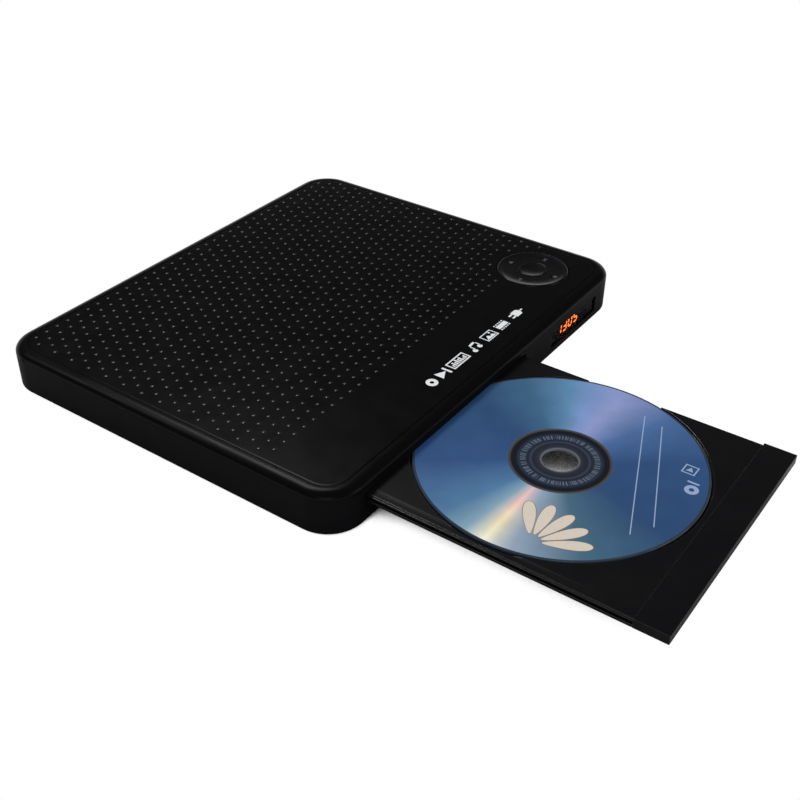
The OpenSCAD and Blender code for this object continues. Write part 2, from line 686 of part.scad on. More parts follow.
module loader_base() color("#2a2a2c") on_spindle() difference() {
    union() {
        bar(rail_left - rail_t, rail_left, rail_front, arm_back, floor_z, rail_z1);
        bar(rail_right, rail_right + rail_t, rail_front, arm_back, floor_z, rail_z1);
        // Ledges under the tray's flanges, and tabs in its grooves.
        bar(rail_left - eps, flange_left + 3, rail_front, arm_back - 4, tray_z0 - gap - ledge_t, tray_z0 - gap);
        for (y = [[rail_front, gear_y - wheel_r - 1.6], [gear_y + wheel_r + 3, arm_back - 4]])
            if (y[1] > y[0])
                bar(flange_right - 3, rail_right + eps, y[0], y[1], tray_z0 - gap - ledge_t, tray_z0 - gap);
        for (y = [bezel_back + 0.6, bezel_back + 13]) {
            bar(rail_left - eps, tray_left + groove_in - 0.4, y, y + 10, groove_z + gap, ledge_z - gap);
            bar(tray_right - groove_in + 0.4, rail_right + eps, y, y + 10, groove_z + gap, ledge_z - gap);
        }
        // Cross members.
        bar(rail_left, rail_right, rail_front, rail_front + 6, floor_z, floor_z + 3.2);
        bar(rail_left, rail_right, cam_y0 - 4.4, cam_y0 - 2.2, floor_z, floor_z + 2.6);
        bar(rail_left, rail_right, arm_back - 4, arm_back, floor_z, floor_z + 5);
        for (x = [-15, 15]) bar(x - 4, x + 4, cam_y0 - 2.3, cam_y0 - run_gap, floor_z, floor_z + 5);
        for (s = [-1, 1], y = [post_front, post_back])
            bar(s < 0 ? rail_left : post_x - 4.5, s < 0 ? -post_x + 4.5 : rail_right, y - 4, y + 4,
                floor_z, floor_z + 1.2);
        for (s = [-1, 1], y = [post_front, post_back])
            post(s * post_x, y, post_r, floor_z, trav_plate_z + trav_plate_t + lift + 0.6);
        // The gear deck.
        bar(gear_x - 9, pulley_x + 8, gear_y - 12, gear_y + 12, floor_z, deck_z);
        post(motor_x, motor_y, motor_r + 2.4, floor_z, deck_z);
        bar(rail_right, motor_x, motor_y - 5, motor_y + 5, floor_z, deck_z);
        ring(motor_x, motor_y, motor_r + 1.6, motor_r + 0.1, deck_z - eps, deck_z + 3.5);
        for (x = [gear_x, pulley_x]) post(x, gear_y, 3, deck_z - eps, wheel_z0 - run_gap);
        post(gear_x, gear_y, gear_post_r, deck_z, gear_z1 - 0.1);
        post(pulley_x, gear_y, gear_post_r, deck_z, pulley_z0 + pulley_t - 0.2);
        // Ears for the loader's own screws, and posts for the clamp's bridge.
        for (p = loader_ears) {
            post(p.x, p.y, 4.2, ear_z, ear_z + 2);
            bar(min(p.x, rail_right + 1), max(p.x, rail_left - 1), p.y - 3, p.y + 3, ear_z, ear_z + 2);
        }
        for (p = bridge_posts) {
            post(p.x, p.y, 3, floor_z, rail_z1);
            bar(min(p.x, rail_right + 1), max(p.x, rail_left - 1), p.y - 1.5, p.y + 1.5, floor_z, rail_z1);
        }
    }
    // The reduction wheel's window in the right rail.
    bar(rail_right - 1, rail_right + rail_t + 1, gear_y - wheel_r + 4, gear_y + wheel_r - 4,
        wheel_z0 - 0.5, wheel_z1 + 0.3);
    bar(rail_right - 1, rail_right + rail_t + 1, cable_y0 - spindle_y - 1, cable_y0 - spindle_y + cable_w + 1,
        floor_z - 1, floor_z + 0.8);
    for (p = loader_ears) post(p.x, p.y, screw_shank_r + shaft_gap, ear_z - 1, ear_z + 3);
    for (p = bridge_posts) post(p.x, p.y, screw_shank_r + shaft_gap, rail_z1 - 7, rail_z1 + 1);
}

module loader_screws() color("silver") on_spindle() for (p = loader_ears) {
    post(p.x, p.y, screw_head_r, ear_z + 2, ear_z + 2 + screw_head_t);
    post(p.x, p.y, screw_shank_r, floor_z, ear_z + 2 + eps);
}

module drive_gear() color("ivory") on_spindle() translate([gear_x, gear_y, 0]) difference() {
    rotate([0, 0, out_turn]) {
        gear(wheel_module, wheel_teeth, wheel_z0, wheel_z1);
        post(0, 0, pinion_r - 1.2 * rack_module, wheel_z1 - eps, gear_z1);
        gear(rack_module, pinion_teeth, gear_z0, gear_z1);
    }
    post(0, 0, gear_post_r + shaft_gap, wheel_z0 - 1, gear_z1 + 1);
}

module pulley_gear() color("ivory") on_spindle() translate([pulley_x, gear_y, 0]) difference() {
    union() {
        rotate([0, 0, 180 + 180 / pulley_teeth - out_turn * wheel_teeth / pulley_teeth]) gear(wheel_module, pulley_teeth, wheel_z0, wheel_z1);
        post(0, 0, 3, wheel_z1 - eps, pulley_z0 + eps);
        post(0, 0, pulley_r + 0.8, pulley_z0, pulley_z0 + 0.5);
        post(0, 0, pulley_r - 0.7, pulley_z0, pulley_z0 + pulley_t);
        post(0, 0, pulley_r + 0.8, pulley_z0 + pulley_t - 0.5, pulley_z0 + pulley_t);
    }
    post(0, 0, gear_post_r + shaft_gap, wheel_z0 - 1, pulley_z0 + pulley_t + 1);
}

// One round of the belt's path, at a given distance outside the pulleys' runs.
module belt_loop(out) hull() {
    translate([pulley_x, gear_y]) circle(r = pulley_r + out, $fn = 48);
    translate([motor_x, motor_y]) circle(r = motor_pulley_r + out, $fn = 32);
}

module drive_belt() color("#111111") on_spindle() translate([0, 0, pulley_z0 + pulley_t / 2 - belt_w / 2])
    linear_extrude(height = belt_w) difference() {
        belt_loop(belt_w / 2);
        belt_loop(-belt_w / 2 + 0.2);
    }

module loading_motor() color("silver") on_spindle() difference() {
    union() {
        post(motor_x, motor_y, motor_r, deck_z, deck_z + motor_h - 1.2);
        post(motor_x, motor_y, 3.2, deck_z, deck_z + motor_h);
    }
    post(motor_x, motor_y, 1 + shaft_gap, deck_z + 4, pulley_z0);
}

module motor_pulley() color("#c9a24a") on_spindle() translate([motor_x, motor_y, 0]) {
    post(0, 0, 1, deck_z + 4.3, pulley_z0 + eps);
    post(0, 0, motor_pulley_r + 0.7, pulley_z0, pulley_z0 + 0.5);
    post(0, 0, motor_pulley_r - 0.7, pulley_z0, pulley_z0 + pulley_t);
    post(0, 0, motor_pulley_r + 0.7, pulley_z0 + pulley_t - 0.5, pulley_z0 + pulley_t);
}

module cam_slider() color("ivory") on_spindle() difference() {
    bar(-pin_x - 5, pin_x + cam_travel + 5, cam_y0, cam_y1, floor_z + run_gap, pin_z + lift + 2.6);
    // Two slots that rise by the lift over the bar's travel.
    for (x = [-pin_x, pin_x]) translate([x, 0, pin_z]) {
        for (f = [0, 1]) rod_y(cam_travel * f, lift * f, pin_r + 0.2, cam_y0 - 1, cam_y1 + 1);
        rotate([0, -atan2(lift, cam_travel), 0])
            bar(0, norm([cam_travel, lift]), cam_y0 - 1, cam_y1 + 1, -pin_r - 0.2, pin_r + 0.2);
    }
}

// ---- Traverse ----

module traverse_frame() color("#3a3a3e") on_spindle() {
    plate_z0 = trav_plate_z;
    plate_z1 = trav_plate_z + trav_plate_t;
    difference() {
        union() {
            bar(-trav_x, trav_x, trav_front, trav_back, plate_z0, plate_z1);
            for (x = [-rod_x, rod_x], y = [sled_y - 7, trav_back - 5])
                bar(x - 3, x + 3, y, y + 3, rod_z - 1.9, plate_z0 + eps);
            bar(screw_x - 3.4, screw_x + 3.4, feed_y0 - 2, feed_y0, screw_z - 2, plate_z0 + eps);
            bar(screw_x - 2.4, screw_x + 2.4, screw_y1 - 1.6, screw_y1, screw_z - 2, plate_z0 + eps);
            bar(-pin_x - 5, pin_x + 5, trav_front, trav_front + 2.4, pin_z - 1.6, plate_z0 + eps);
            for (x = [-pin_x, pin_x]) rod_y(x, pin_z, pin_r, cam_y0 + 0.1, trav_front + eps);
        }
        bar(-sled_w / 2 - 2.5, sled_w / 2 + 2.5, sled_y - 3, trav_back - 6, plate_z0 - 1, plate_z1 + 1);
        bar(screw_x - feed_motor_r - 0.4, screw_x + feed_motor_r + 0.4, feed_y0, feed_y0 + feed_motor_l + 0.4,
            plate_z0 - 1, plate_z1 + 1);
        post(0, 0, hub_r + 0.1, plate_z0 - 1, plate_z1 + 1);
        for (x = [-rod_x, rod_x]) rod_y(x, rod_z, rod_r + 0.02, sled_y - 8, trav_back + 1);
        rod_y(screw_x, screw_z, screw_r + shaft_gap, screw_y1 - 3, screw_y1 + 1);
        for (s = [-1, 1], y = [post_front, post_back]) post(s * post_x, y, bush_r - 1, plate_z0 - 1, plate_z1 + 1);
    }
}

// Rubber bushes, clipped in the frame and sliding on the base's posts.
module damper_bushes() color("#20201f") on_spindle() for (s = [-1, 1], y = [post_front, post_back]) {
    z0 = trav_plate_z;
    z1 = trav_plate_z + trav_plate_t;
    ring(s * post_x, y, bush_r, post_r + 0.08, z0 - 1.4, z0);
    ring(s * post_x, y, bush_r - 1, post_r + 0.08, z0 - eps, z1 + eps);
    ring(s * post_x, y, bush_r, post_r + 0.08, z1, z1 + 0.5);
}

module spindle_motor() color("silver") on_spindle() difference() {
    union() {
        post(0, 0, 11.5, trav_plate_z - motor_can_h, trav_plate_z);
        post(0, 0, hub_r, trav_plate_z - eps, hub_z);
    }
    post(0, 0, 1 + shaft_gap, trav_plate_z - motor_can_h + 0.8, hub_z + 1);
}

module turntable() color("#28282b") on_spindle() {
    post(0, 0, 1, trav_plate_z - motor_can_h + 1, platter_z - platter_t + eps);
    difference() {
        post(0, 0, turntable_r, platter_z - platter_t, platter_z);
        ring(0, 0, turntable_r - 0.8, 9.6, platter_z - 0.35, platter_z + 1);
    }
    post(0, 0, cone_r, platter_z - eps, platter_z + 0.5);
    translate([0, 0, platter_z + 0.5]) cylinder(r1 = cone_r, r2 = cone_r - 1.6, h = cone_h - 0.5);
}

module turntable_pad() color("#3c3c3c") on_spindle()
    ring(0, 0, turntable_r - 0.9, 9.7, platter_z - 0.35, platter_z);

module guide_rods() color("silver") on_spindle() for (x = [-rod_x, rod_x])
    rod_y(x, rod_z, rod_r, sled_y - 7, trav_back - 2);

module lead_screw() color("silver") on_spindle() {
    start = feed_y0 + feed_motor_l + 0.3;
    turns = floor((screw_y1 - 3 - start) / screw_pitch);
    rod_y(screw_x, screw_z, screw_r - 0.35, feed_y0 + 3, screw_y1 - 2);
    rod_y(screw_x, screw_z, screw_r, screw_y1 - 2.2, screw_y1 - 0.1);
    for (k = [0 : turns - 1]) translate([screw_x, start + k * screw_pitch, screw_z]) rotate([-90, 0, 0]) {
        cylinder(r1 = screw_r - 0.35, r2 = screw_r, h = screw_pitch / 3);
        translate([0, 0, screw_pitch / 3]) cylinder(r = screw_r, h = screw_pitch / 4);
    }
}

module feed_motor() color("silver") on_spindle() difference() {
    rod_y(screw_x, screw_z, feed_motor_r, feed_y0, feed_y0 + feed_motor_l);
    rod_y(screw_x, screw_z, screw_r - 0.35 + shaft_gap, feed_y0 + 2, feed_y0 + feed_motor_l + 1);
}

module pickup_sled() color("#4a4a50") on_spindle() difference() {
    union() {
        bar(-sled_w / 2, sled_w / 2, sled_y, sled_y + sled_d, rod_z - 2.1, sled_top);
        for (s = [-1, 1]) bar(s < 0 ? -rod_x - 3 : sled_w / 2 - 1, s < 0 ? -sled_w / 2 + 1 : rod_x + 3,
            sled_y + 2, sled_y + sled_d - 2, rod_z - 2.1, trav_plate_z - run_gap);
        // The finger that rides on the lead screw.
        bar(screw_x + screw_r + 0.15, -rod_x - 2, sled_y + 10, sled_y + 14, screw_z - 0.7, screw_z + 0.7);
    }
    for (x = [-rod_x, rod_x]) rod_y(x, rod_z, rod_r + shaft_gap, sled_y - 1, sled_y + sled_d + 1);
    bar(-6, 6, lens_y - 5.5, lens_y + 5.5, lens_z0 - 0.45, sled_top + 1);
}

module lens_holder() color("#222226") on_spindle() difference() {
    union() {
        bar(-5.5, 5.5, lens_y - 5, lens_y + 5, lens_z0, sled_top - 0.3);
        post(0, lens_y, 3.3, sled_top - 0.4, sled_top + 0.3);
    }
    post(0, lens_y, 2.2, sled_top - 0.5, sled_top + 1);
}

module objective_lens() color("lightskyblue", 0.6) on_spindle()
    post(0, lens_y, 2.2, sled_top - 0.5, sled_top + 0.1);

// ---- Clamp ----

module clamp_bridge() color("#8d8f94") on_spindle() difference() {
    union() {
        bar(side_left + 3.5, side_right - 3.5, -8, 8, bridge_z, bridge_z + bridge_t);
        post(0, 0, puck_hole_r + 6.5, bridge_z, bridge_z + bridge_t);
        for (x = [side_left, side_right]) bar(x - 3.6, x + 3.6, -16, 16, rail_z1, rail_z1 + bridge_t);
        for (x = [side_left + 2.9, side_right - 3.5]) bar(x, x + 0.6, -8, 8, rail_z1, bridge_z + bridge_t);
    }
    post(0, 0, puck_hole_r, bridge_z - 1, bridge_z + bridge_t + 1);
    for (p = bridge_posts) post(p.x, p.y, screw_shank_r + shaft_gap, rail_z1 - 1, bridge_z + bridge_t + 1);
}

module clamp_puck() color("#2c2c30") on_spindle() difference() {
    union() {
        post(0, 0, puck_r, puck_z, bridge_z + bridge_t + 0.15);
        post(0, 0, puck_r + 3, bridge_z + bridge_t + 0.1, puck_top);
    }
    post(0, 0, cone_r + 0.5, puck_z - 1, puck_z + 0.5);
    ring(0, 0, 9.05, 4.95, magnet_z, puck_top + 1);
}

module clamp_magnet() color("#6a6a6e") on_spindle() ring(0, 0, 9, 5, magnet_z, puck_top);

module bridge_screws() color("silver") on_spindle() for (p = bridge_posts) {
    post(p.x, p.y, screw_head_r, rail_z1 + bridge_t, rail_z1 + bridge_t + screw_head_t);
    post(p.x, p.y, screw_shank_r, rail_z1 - 6, rail_z1 + bridge_t + eps);
}

module flat_cable() color("#d8d8d0") in_case() {
    y0 = cable_y0;
    y1 = cable_y0 + cable_w;
    bar(disc_x - 5, cable_rise_x + 0.25, y0, y1, floor_z, floor_z + 0.25);
    bar(cable_rise_x, cable_rise_x + 0.25, y0, y1, floor_z, board_top + 2.6);
    bar(cable_rise_x, cable_x1, y0, y1, board_top + 2.35, board_top + 2.6);
}

bottom_case();
top_cover();
rubber_feet();
case_screws();
control_ring();
centre_button();
key_board();
key_switches();
display_window();
led_display();
display_digits();
ir_receiver();
display_board();
main_board();
processor_chip();
heat_sink();
memory_chips();
capacitors();
board_connectors();
rca_housings();
rca_sleeves();
rca_inserts();
usb_socket();
power_jack();
power_switch();
power_knob();
board_screws();
loader_base();
loader_screws();
tray();
tray_bezel();
disc();
drive_gear();
pulley_gear();
drive_belt();
loading_motor();
motor_pulley();
cam_slider();
traverse_frame();
damper_bushes();
spindle_motor();
turntable();
turntable_pad();
guide_rods();
lead_screw();
feed_motor();
pickup_sled();
lens_holder();
objective_lens();
clamp_bridge();
clamp_puck();
clamp_magnet();
bridge_screws();
flat_cable();
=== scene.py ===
import math

import bmesh
import bpy
from bpy.props import FloatProperty, FloatVectorProperty, IntProperty, PointerProperty
from bpy.types import Operator, Panel, PropertyGroup
from mathutils import Matrix, Vector


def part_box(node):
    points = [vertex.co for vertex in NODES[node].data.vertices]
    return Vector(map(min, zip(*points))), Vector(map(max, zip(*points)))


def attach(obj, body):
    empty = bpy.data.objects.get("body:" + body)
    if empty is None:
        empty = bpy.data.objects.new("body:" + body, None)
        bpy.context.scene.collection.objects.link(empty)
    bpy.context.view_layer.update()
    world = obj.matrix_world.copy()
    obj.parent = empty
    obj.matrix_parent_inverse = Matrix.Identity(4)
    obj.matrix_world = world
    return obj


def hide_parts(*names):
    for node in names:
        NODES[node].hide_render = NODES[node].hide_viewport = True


bl_info = {
    "name": "Slim Disc Player",
    "version": (1, 0, 0),
    "blender": (4, 5, 0),
    "location": "3D View > Sidebar > Disc Player",
    "description": "Surfaces, printed marks and studio for a slim disc player with its tray out",
    "category": "Object",
}

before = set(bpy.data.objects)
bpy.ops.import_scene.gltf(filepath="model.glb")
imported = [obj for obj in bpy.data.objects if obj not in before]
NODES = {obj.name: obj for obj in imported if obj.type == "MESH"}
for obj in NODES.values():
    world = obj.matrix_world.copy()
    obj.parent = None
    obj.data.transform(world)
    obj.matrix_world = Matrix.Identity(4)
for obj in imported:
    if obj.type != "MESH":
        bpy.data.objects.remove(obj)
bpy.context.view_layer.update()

MM = 0.001
SMOOTH_BELOW = math.radians(30)
# How near a vertex must lie to a level or a line to count as on it.
ON_LEVEL = 0.01 * MM
ON_LINE = 0.05 * MM


# ---- Colours and sizes ----

def linear(hex_colour):
    """An sRGB hex colour as the linear values that Blender's sockets take."""
    parts = [int(hex_colour[i:i + 2], 16) / 255 for i in (1, 3, 5)]
    return tuple(c / 12.92 if c <= 0.04045 else ((c + 0.055) / 1.055) ** 2.4 for c in parts)


def colour_property(name, description, hex_colour):
    return FloatVectorProperty(name=name, description=description, subtype="COLOR", size=3,
                               min=0.0, max=1.0, default=linear(hex_colour))


def length_property(name, description, millimetres):
    return FloatProperty(name=name, description=description, unit="LENGTH", subtype="DISTANCE",
                         precision=5, min=0.0, default=millimetres * MM)


def middle(node):
    low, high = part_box(node)
    return (low + high) / 2


class PLAYER_PG_cover(PropertyGroup):
    colour: colour_property("Cover colour", "Colour of the moulded top cover", "#09090a")
    dot_colour: colour_property("Dot colour", "Colour of the polished raised dots", "#0e0e10")
    corner: length_property("Corner radius", "Radius of the four upright corners", 17.0)
    shoulder_drop: length_property("Shoulder drop", "Height of the rounded shoulder", 3.0)
    shoulder_width: length_property("Shoulder width", "Width of the rounded shoulder, seen from above", 5.0)
    field_edge: length_property("Field edge", "Distance of the dotted field from the case's edges", 6.3)
    groove: length_property("Groove width", "Width of the groove round the dotted field", 0.5)
    field_slope: length_property("Field slope", "Width of the slope along the dotted field's edge", 0.9)
    field_drop: length_property("Field drop", "How far that edge lies below the field", 0.1)
    seam: length_property("Seam edge", "Size of the chamfer along each side of the parting line", 0.3)
    dot_pitch: length_property("Dot pitch", "Distance between neighbouring dots of a row", 6.3)
    row_pitch: length_property("Row pitch", "Distance between neighbouring rows of dots", 5.5)
    dot_width: length_property("Dot width", "Diameter of a dot", 1.7)
    dot_height: length_property("Dot height", "How far a dot stands above the cover", 0.25)
    rows: IntProperty(name="Rows", description="Number of rows of dots", min=1, default=27)
    plain_strip: length_property("Plain strip", "Depth of the smooth strip along the front edge", 41.7)
    pad_margin: length_property("Pad margin", "Room round the control pad that holds no dots", 21.5)
    edge_margin: length_property("Edge margin", "Distance of the outermost dots from the case's edges", 7.6)
    ink: colour_property("Ink colour", "Colour of the screen printed marks", "#e4e6e8")


class PLAYER_PG_case(PropertyGroup):
    colour: colour_property("Case colour", "Colour of the moulded lower case", "#0d0d0f")
    rubber: colour_property("Rubber colour", "Colour of the feet", "#1b1b1b")
    edge: length_property("Edge radius", "Radius of the small moulded edges", 0.15)


class PLAYER_PG_pad(PropertyGroup):
    colour: colour_property("Key colour", "Colour of the ring and its button", "#0c0c0e")
    crown: length_property("Crown radius", "Radius of the ring's rounded outer edge", 0.9)
    dish: length_property("Dish depth", "How far the ring's face falls towards the button", 0.8)


class PLAYER_PG_display(PropertyGroup):
    lit: colour_property("Lit colour", "Colour of the lit segments", "#ff5a1c")
    glow: FloatProperty(name="Glow", description="Strength of the lit segments", min=0.0, default=5.0)
    number: IntProperty(name="Number", description="The number that the display shows", min=0,
                        max=9999, default=1305)


class PLAYER_PG_tray(PropertyGroup):
    colour: colour_property("Tray colour", "Colour of the moulded tray", "#0d0d0f")
    edge: length_property("Edge radius", "Radius of the tray's edges", 0.3)


class PLAYER_PG_disc(PropertyGroup):
    cream: colour_property("Motif colour", "Colour of the printed motif", "#d9cdbd")
    label_inner: length_property("Label inner radius", "Radius at which the label starts", 21.3)
    label_outer: length_property("Label outer radius", "Radius at which the label ends", 59.0)


# ---- Node and mesh helpers ----

def add(tree, kind, inputs=None, links=None, stops=(), **settings):
    """Adds a node to a material's tree, sets its properties, stops and sockets, and links its inputs."""
    made = tree.nodes.new(kind)
    for key, value in settings.items():
        setattr(made, key, value)
    for k, (position, hex_colour) in enumerate(stops):
        points = made.color_ramp.elements
        point = points[k] if k < 2 else points.new(position)
        point.position = position
        point.color = (*linear(hex_colour), 1.0)
    for key, value in (inputs or {}).items():
        made.inputs[key].default_value = value
    for key, socket in (links or {}).items():
        tree.links.new(socket, made.inputs[key])
    return made


def new_material(name, **sockets):
    """A material with one Principled shader, whose plain values are set on its own sockets."""
    material = bpy.data.materials.new(name)
    material.use_nodes = True
    tree = material.node_tree
    shader = next(n for n in tree.nodes if n.type == "BSDF_PRINCIPLED")
    for key, value in sockets.items():
        label = key.replace("_", " ").title().replace("Ior", "IOR")
        if label.endswith("Colour"):
            label = label.replace("Colour", "Color")
            value = (*value, 1.0)
        shader.inputs[label].default_value = value
    return material, tree, shader


def place_of(tree):
    return add(tree, "ShaderNodeTexCoord").outputs["Object"]


def grain(tree, shader, size_mm, depth_mm):
    """An even grain: a noise whose features are size_mm across and depth_mm deep."""
    noise = add(tree, "ShaderNodeTexNoise", {"Scale": 1 / (size_mm * MM), "Detail": 2.0, "Roughness": 0.55},
                {"Vector": place_of(tree)})
    bump = add(tree, "ShaderNodeBump", {"Strength": 1.0, "Distance": depth_mm * MM},
               {"Height": noise.outputs["Fac"]})
    tree.links.new(bump.outputs["Normal"], shader.inputs["Normal"])


def uneven(tree, shader, low, high, size_mm):
    """Lets the roughness wander between two values over patches of size_mm."""
    noise = add(tree, "ShaderNodeTexNoise", {"Scale": 1 / (size_mm * MM), "Detail": 3.0},
                {"Vector": place_of(tree)})
    span = add(tree, "ShaderNodeMapRange", {"From Min": 0.3, "From Max": 0.7, "To Min": low, "To Max": high},
               {"Value": noise.outputs["Fac"]})
    tree.links.new(span.outputs["Result"], shader.inputs["Roughness"])


def shaded(tree, shader, colour, other, size_mm, socket="Base Color", detail=3.0):
    """Lets a colour wander between two close shades over patches of size_mm."""
    noise = add(tree, "ShaderNodeTexNoise", {"Scale": 1 / (size_mm * MM), "Detail": detail},
                {"Vector": place_of(tree)})
    mix = add(tree, "ShaderNodeMix", {6: (*colour, 1.0), 7: (*other, 1.0)}, {0: noise.outputs["Fac"]},
              data_type="RGBA")
    tree.links.new(mix.outputs[2], shader.inputs[socket])


def two_shades(colour, factor, size_mm):
    """A colour, a lighter or darker shade of it, and the size of their patches."""
    return colour, tuple(min(1.0, c * factor) for c in colour), size_mm


def surface(name, shades=None, rough=None, grains=None, **sockets):
    """A material with shades and roughness that wander (two values, patch size) and a grain (size, depth)."""
    material, tree, shader = new_material(name, **sockets)
    if shades:
        shaded(tree, shader, *shades)
    if rough:
        uneven(tree, shader, *rough)
    if grains:
        grain(tree, shader, *grains)
    return material


def as_piece(name, bm, body, materials, replaces=()):
    """Turns a bmesh into a finished piece on a body of the frame."""
    mesh = bpy.data.meshes.new(name)
    bm.to_mesh(mesh)
    bm.free()
    for polygon in mesh.polygons:
        polygon.use_smooth = True
    mesh.set_sharp_from_angle(angle=SMOOTH_BELOW)
    for material in materials:
        mesh.materials.append(material)
    piece = bpy.data.objects.new(name, mesh)
    bpy.context.scene.collection.objects.link(piece)
    even = piece.modifiers.new("Even shading", "WEIGHTED_NORMAL")
    even.keep_sharp = True
    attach(piece, body)
    if replaces:
        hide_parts(*replaces)
    return piece


def copy_of(node):
    """A merged copy of a CAD node's mesh, its flat faces joined up."""
    bm = bmesh.new()
    bm.from_mesh(NODES[node].data)
    bmesh.ops.remove_doubles(bm, verts=bm.verts, dist=0.001 * MM)
    bmesh.ops.dissolve_limit(bm, angle_limit=math.radians(0.5), verts=bm.verts, edges=bm.edges)
    return bm


def soften(bm, radius, over=35.0, segments=2, chosen=lambda edge: True):
    """Rounds the edges that are sharper than an angle, and gives back the faces that this makes."""
    limit = math.radians(over)
    edges = [e for e in bm.edges if len(e.link_faces) == 2 and e.calc_face_angle(0.0) > limit and chosen(e)]
    made = bmesh.ops.bevel(bm, geom=edges, offset=radius, offset_type="OFFSET", segments=segments,
                           profile=0.5, affect="EDGES", material=-1, clamp_overlap=True)
    bmesh.ops.recalc_face_normals(bm, faces=bm.faces)
    return made["faces"]


def refined(name, node, body, materials, radius, over=35.0, chosen=lambda edge: True, segments=2):
    """A copy of a CAD node with its edges rounded, which stands for it; the last material goes on them."""
    bm = copy_of(node)
    for face in soften(bm, radius, over, segments, chosen):
        face.material_index = len(materials) - 1
    return as_piece(name, bm, body, materials, (node,))


def turned(bm, profile, centre, steps=96):
    """Spins a profile of (radius, height) points in millimetres round an upright axis."""
    verts = [bm.verts.new((centre.x + r * MM, centre.y, z * MM)) for r, z in profile]
    edges = [bm.edges.new(pair) for pair in zip(verts, verts[1:])]
    bmesh.ops.spin(bm, geom=verts + edges, cent=centre, axis=(0, 0, 1), dvec=(0, 0, 0),
                   angle=math.tau, steps=steps, use_merge=True, use_duplicate=False)
    bmesh.ops.remove_doubles(bm, verts=bm.verts, dist=0.0005 * MM)
    bmesh.ops.recalc_face_normals(bm, faces=bm.faces)


def arc(x, z, radius, start, end, steps=6):
    """Points of an arc in a profile, in millimetres and degrees."""
    angles = [math.radians(start + (end - start) * i / steps) for i in range(steps + 1)]
    return [(x + radius * math.cos(a), z + radius * math.sin(a)) for a in angles]


def block(bm, low, high):
    """A box between two corners."""
    low, high = Vector(low), Vector(high)
    size = high - low
    place = Matrix.Translation((low + high) / 2) @ Matrix.Diagonal((*size, 1.0))
    bmesh.ops.create_cube(bm, size=1.0, matrix=place)


def raised(bm, faces, height):
    """Gives flat faces a thickness, so that they close to a solid."""
    grown = bmesh.ops.extrude_face_region(bm, geom=faces)["geom"]
    top = [v for v in grown if isinstance(v, bmesh.types.BMVert)]
    bmesh.ops.translate(bm, verts=top, vec=(0, 0, height))


def placed(origin, points):
    """Points in millimetres from an origin, as places in metres."""
    return [(origin.x + x * MM, origin.y + y * MM) for x, y in points]


def plate(bm, outline, low, high):
    """A flat plate over an outline of (x, y) points, between two levels."""
    verts = [bm.verts.new((x, y, low)) for x, y in outline]
    raised(bm, [bm.faces.new(verts)], high - low)


def washer(bm, x, y, inner, outer, low, high, steps=32):
    """A flat ring between two levels."""
    edges = set()
    for radius in (inner, outer):
        made = bmesh.ops.create_circle(bm, radius=radius, segments=steps,
                                       matrix=Matrix.Translation((x, y, low)))
        edges.update(e for v in made["verts"] for e in v.link_edges)
    raised(bm, bmesh.ops.bridge_loops(bm, edges=list(edges))["faces"], high - low)


def round_outline(x, y, radius, steps=16):
    """Points of a circle."""
    angles = [math.tau * i / steps for i in range(steps)]
    return [(x + radius * math.cos(a), y + radius * math.sin(a)) for a in angles]


# ---- Materials ----

def cover_abs(settings):
    # Injection-moulded ABS with a satin finish: near black, with a weak, broad gloss.
    # The real spark grain is about 0.1 mm and is drawn three times as coarse so that it shows.
    return surface("satin_moulded_abs", two_shades(settings.colour, 1.25, 40), (0.2, 0.26, 12), (0.3, 0.004),
                   roughness=0.22, specular_ior_level=0.05)


def dot_abs(settings):
    # The dots are the tool's polished pits: the same ABS, smooth and glossier than its ground.
    return surface("polished_abs_dots", two_shades(settings.dot_colour, 1.3, 8), (0.16, 0.26, 3),
                   roughness=0.2, specular_ior_level=0.5)


def screen_ink(name, colour):
    # Screen printing ink: an opaque, slightly chalky film with a faint mesh texture.
    return surface(name, two_shades(colour, 0.88, 1.5), None, (0.25, 0.003),
                   roughness=0.55, specular_ior_level=0.3)


def case_abs(settings):
    # Spark-eroded ABS: matt black with a fine, even grain.
    return surface("spark_textured_abs", two_shades(settings.colour, 1.2, 30), (0.42, 0.5, 15), (0.35, 0.008),
                   roughness=0.45, specular_ior_level=0.03)


def foot_rubber(settings):
    # Moulded nitrile rubber: dull, with dust in its grain.
    return surface("moulded_nitrile_rubber", two_shades(settings.rubber, 1.7, 2), None, (0.4, 0.02),
                   roughness=0.85, specular_ior_level=0.3)


def key_abs(settings):
    # Polished ABS keys: glossier than the cover, and very finely grained.
    return surface("polished_key_abs", two_shades(settings.colour, 1.3, 10), (0.16, 0.24, 4), (0.5, 0.001),
                   roughness=0.2, specular_ior_level=0.2)


def smoked_acrylic():
    # Smoked cast acrylic: a thin dark film that lets the red segments through.
    return surface("smoked_acrylic", grains=(6.0, 0.002), base_colour=linear("#0b0709"), roughness=0.08,
                   specular_ior_level=0.12, alpha=0.35)


def display_epoxy():
    # Black potting epoxy of a display block: smooth, with a slight orange-peel skin.
    return surface("black_potting_epoxy", (linear("#0b0a0c"), linear("#131114"), 3), None, (1.2, 0.01),
                   roughness=0.4, specular_ior_level=0.1)


def lit_segment(settings):
    # A lit segment: a light diffusing bar whose glow is a little uneven.
    dim, bright = (two_shades(settings.lit, factor, 1)[1] for factor in (0.5, 0.7))
    material, tree, shader = new_material("lit_segment_resin", base_colour=dim, roughness=0.4,
                                          emission_strength=settings.glow)
    shaded(tree, shader, dim, bright, 1)
    shaded(tree, shader, settings.lit, linear("#ff8a3c"), 0.8, "Emission Color", 2.0)
    return material


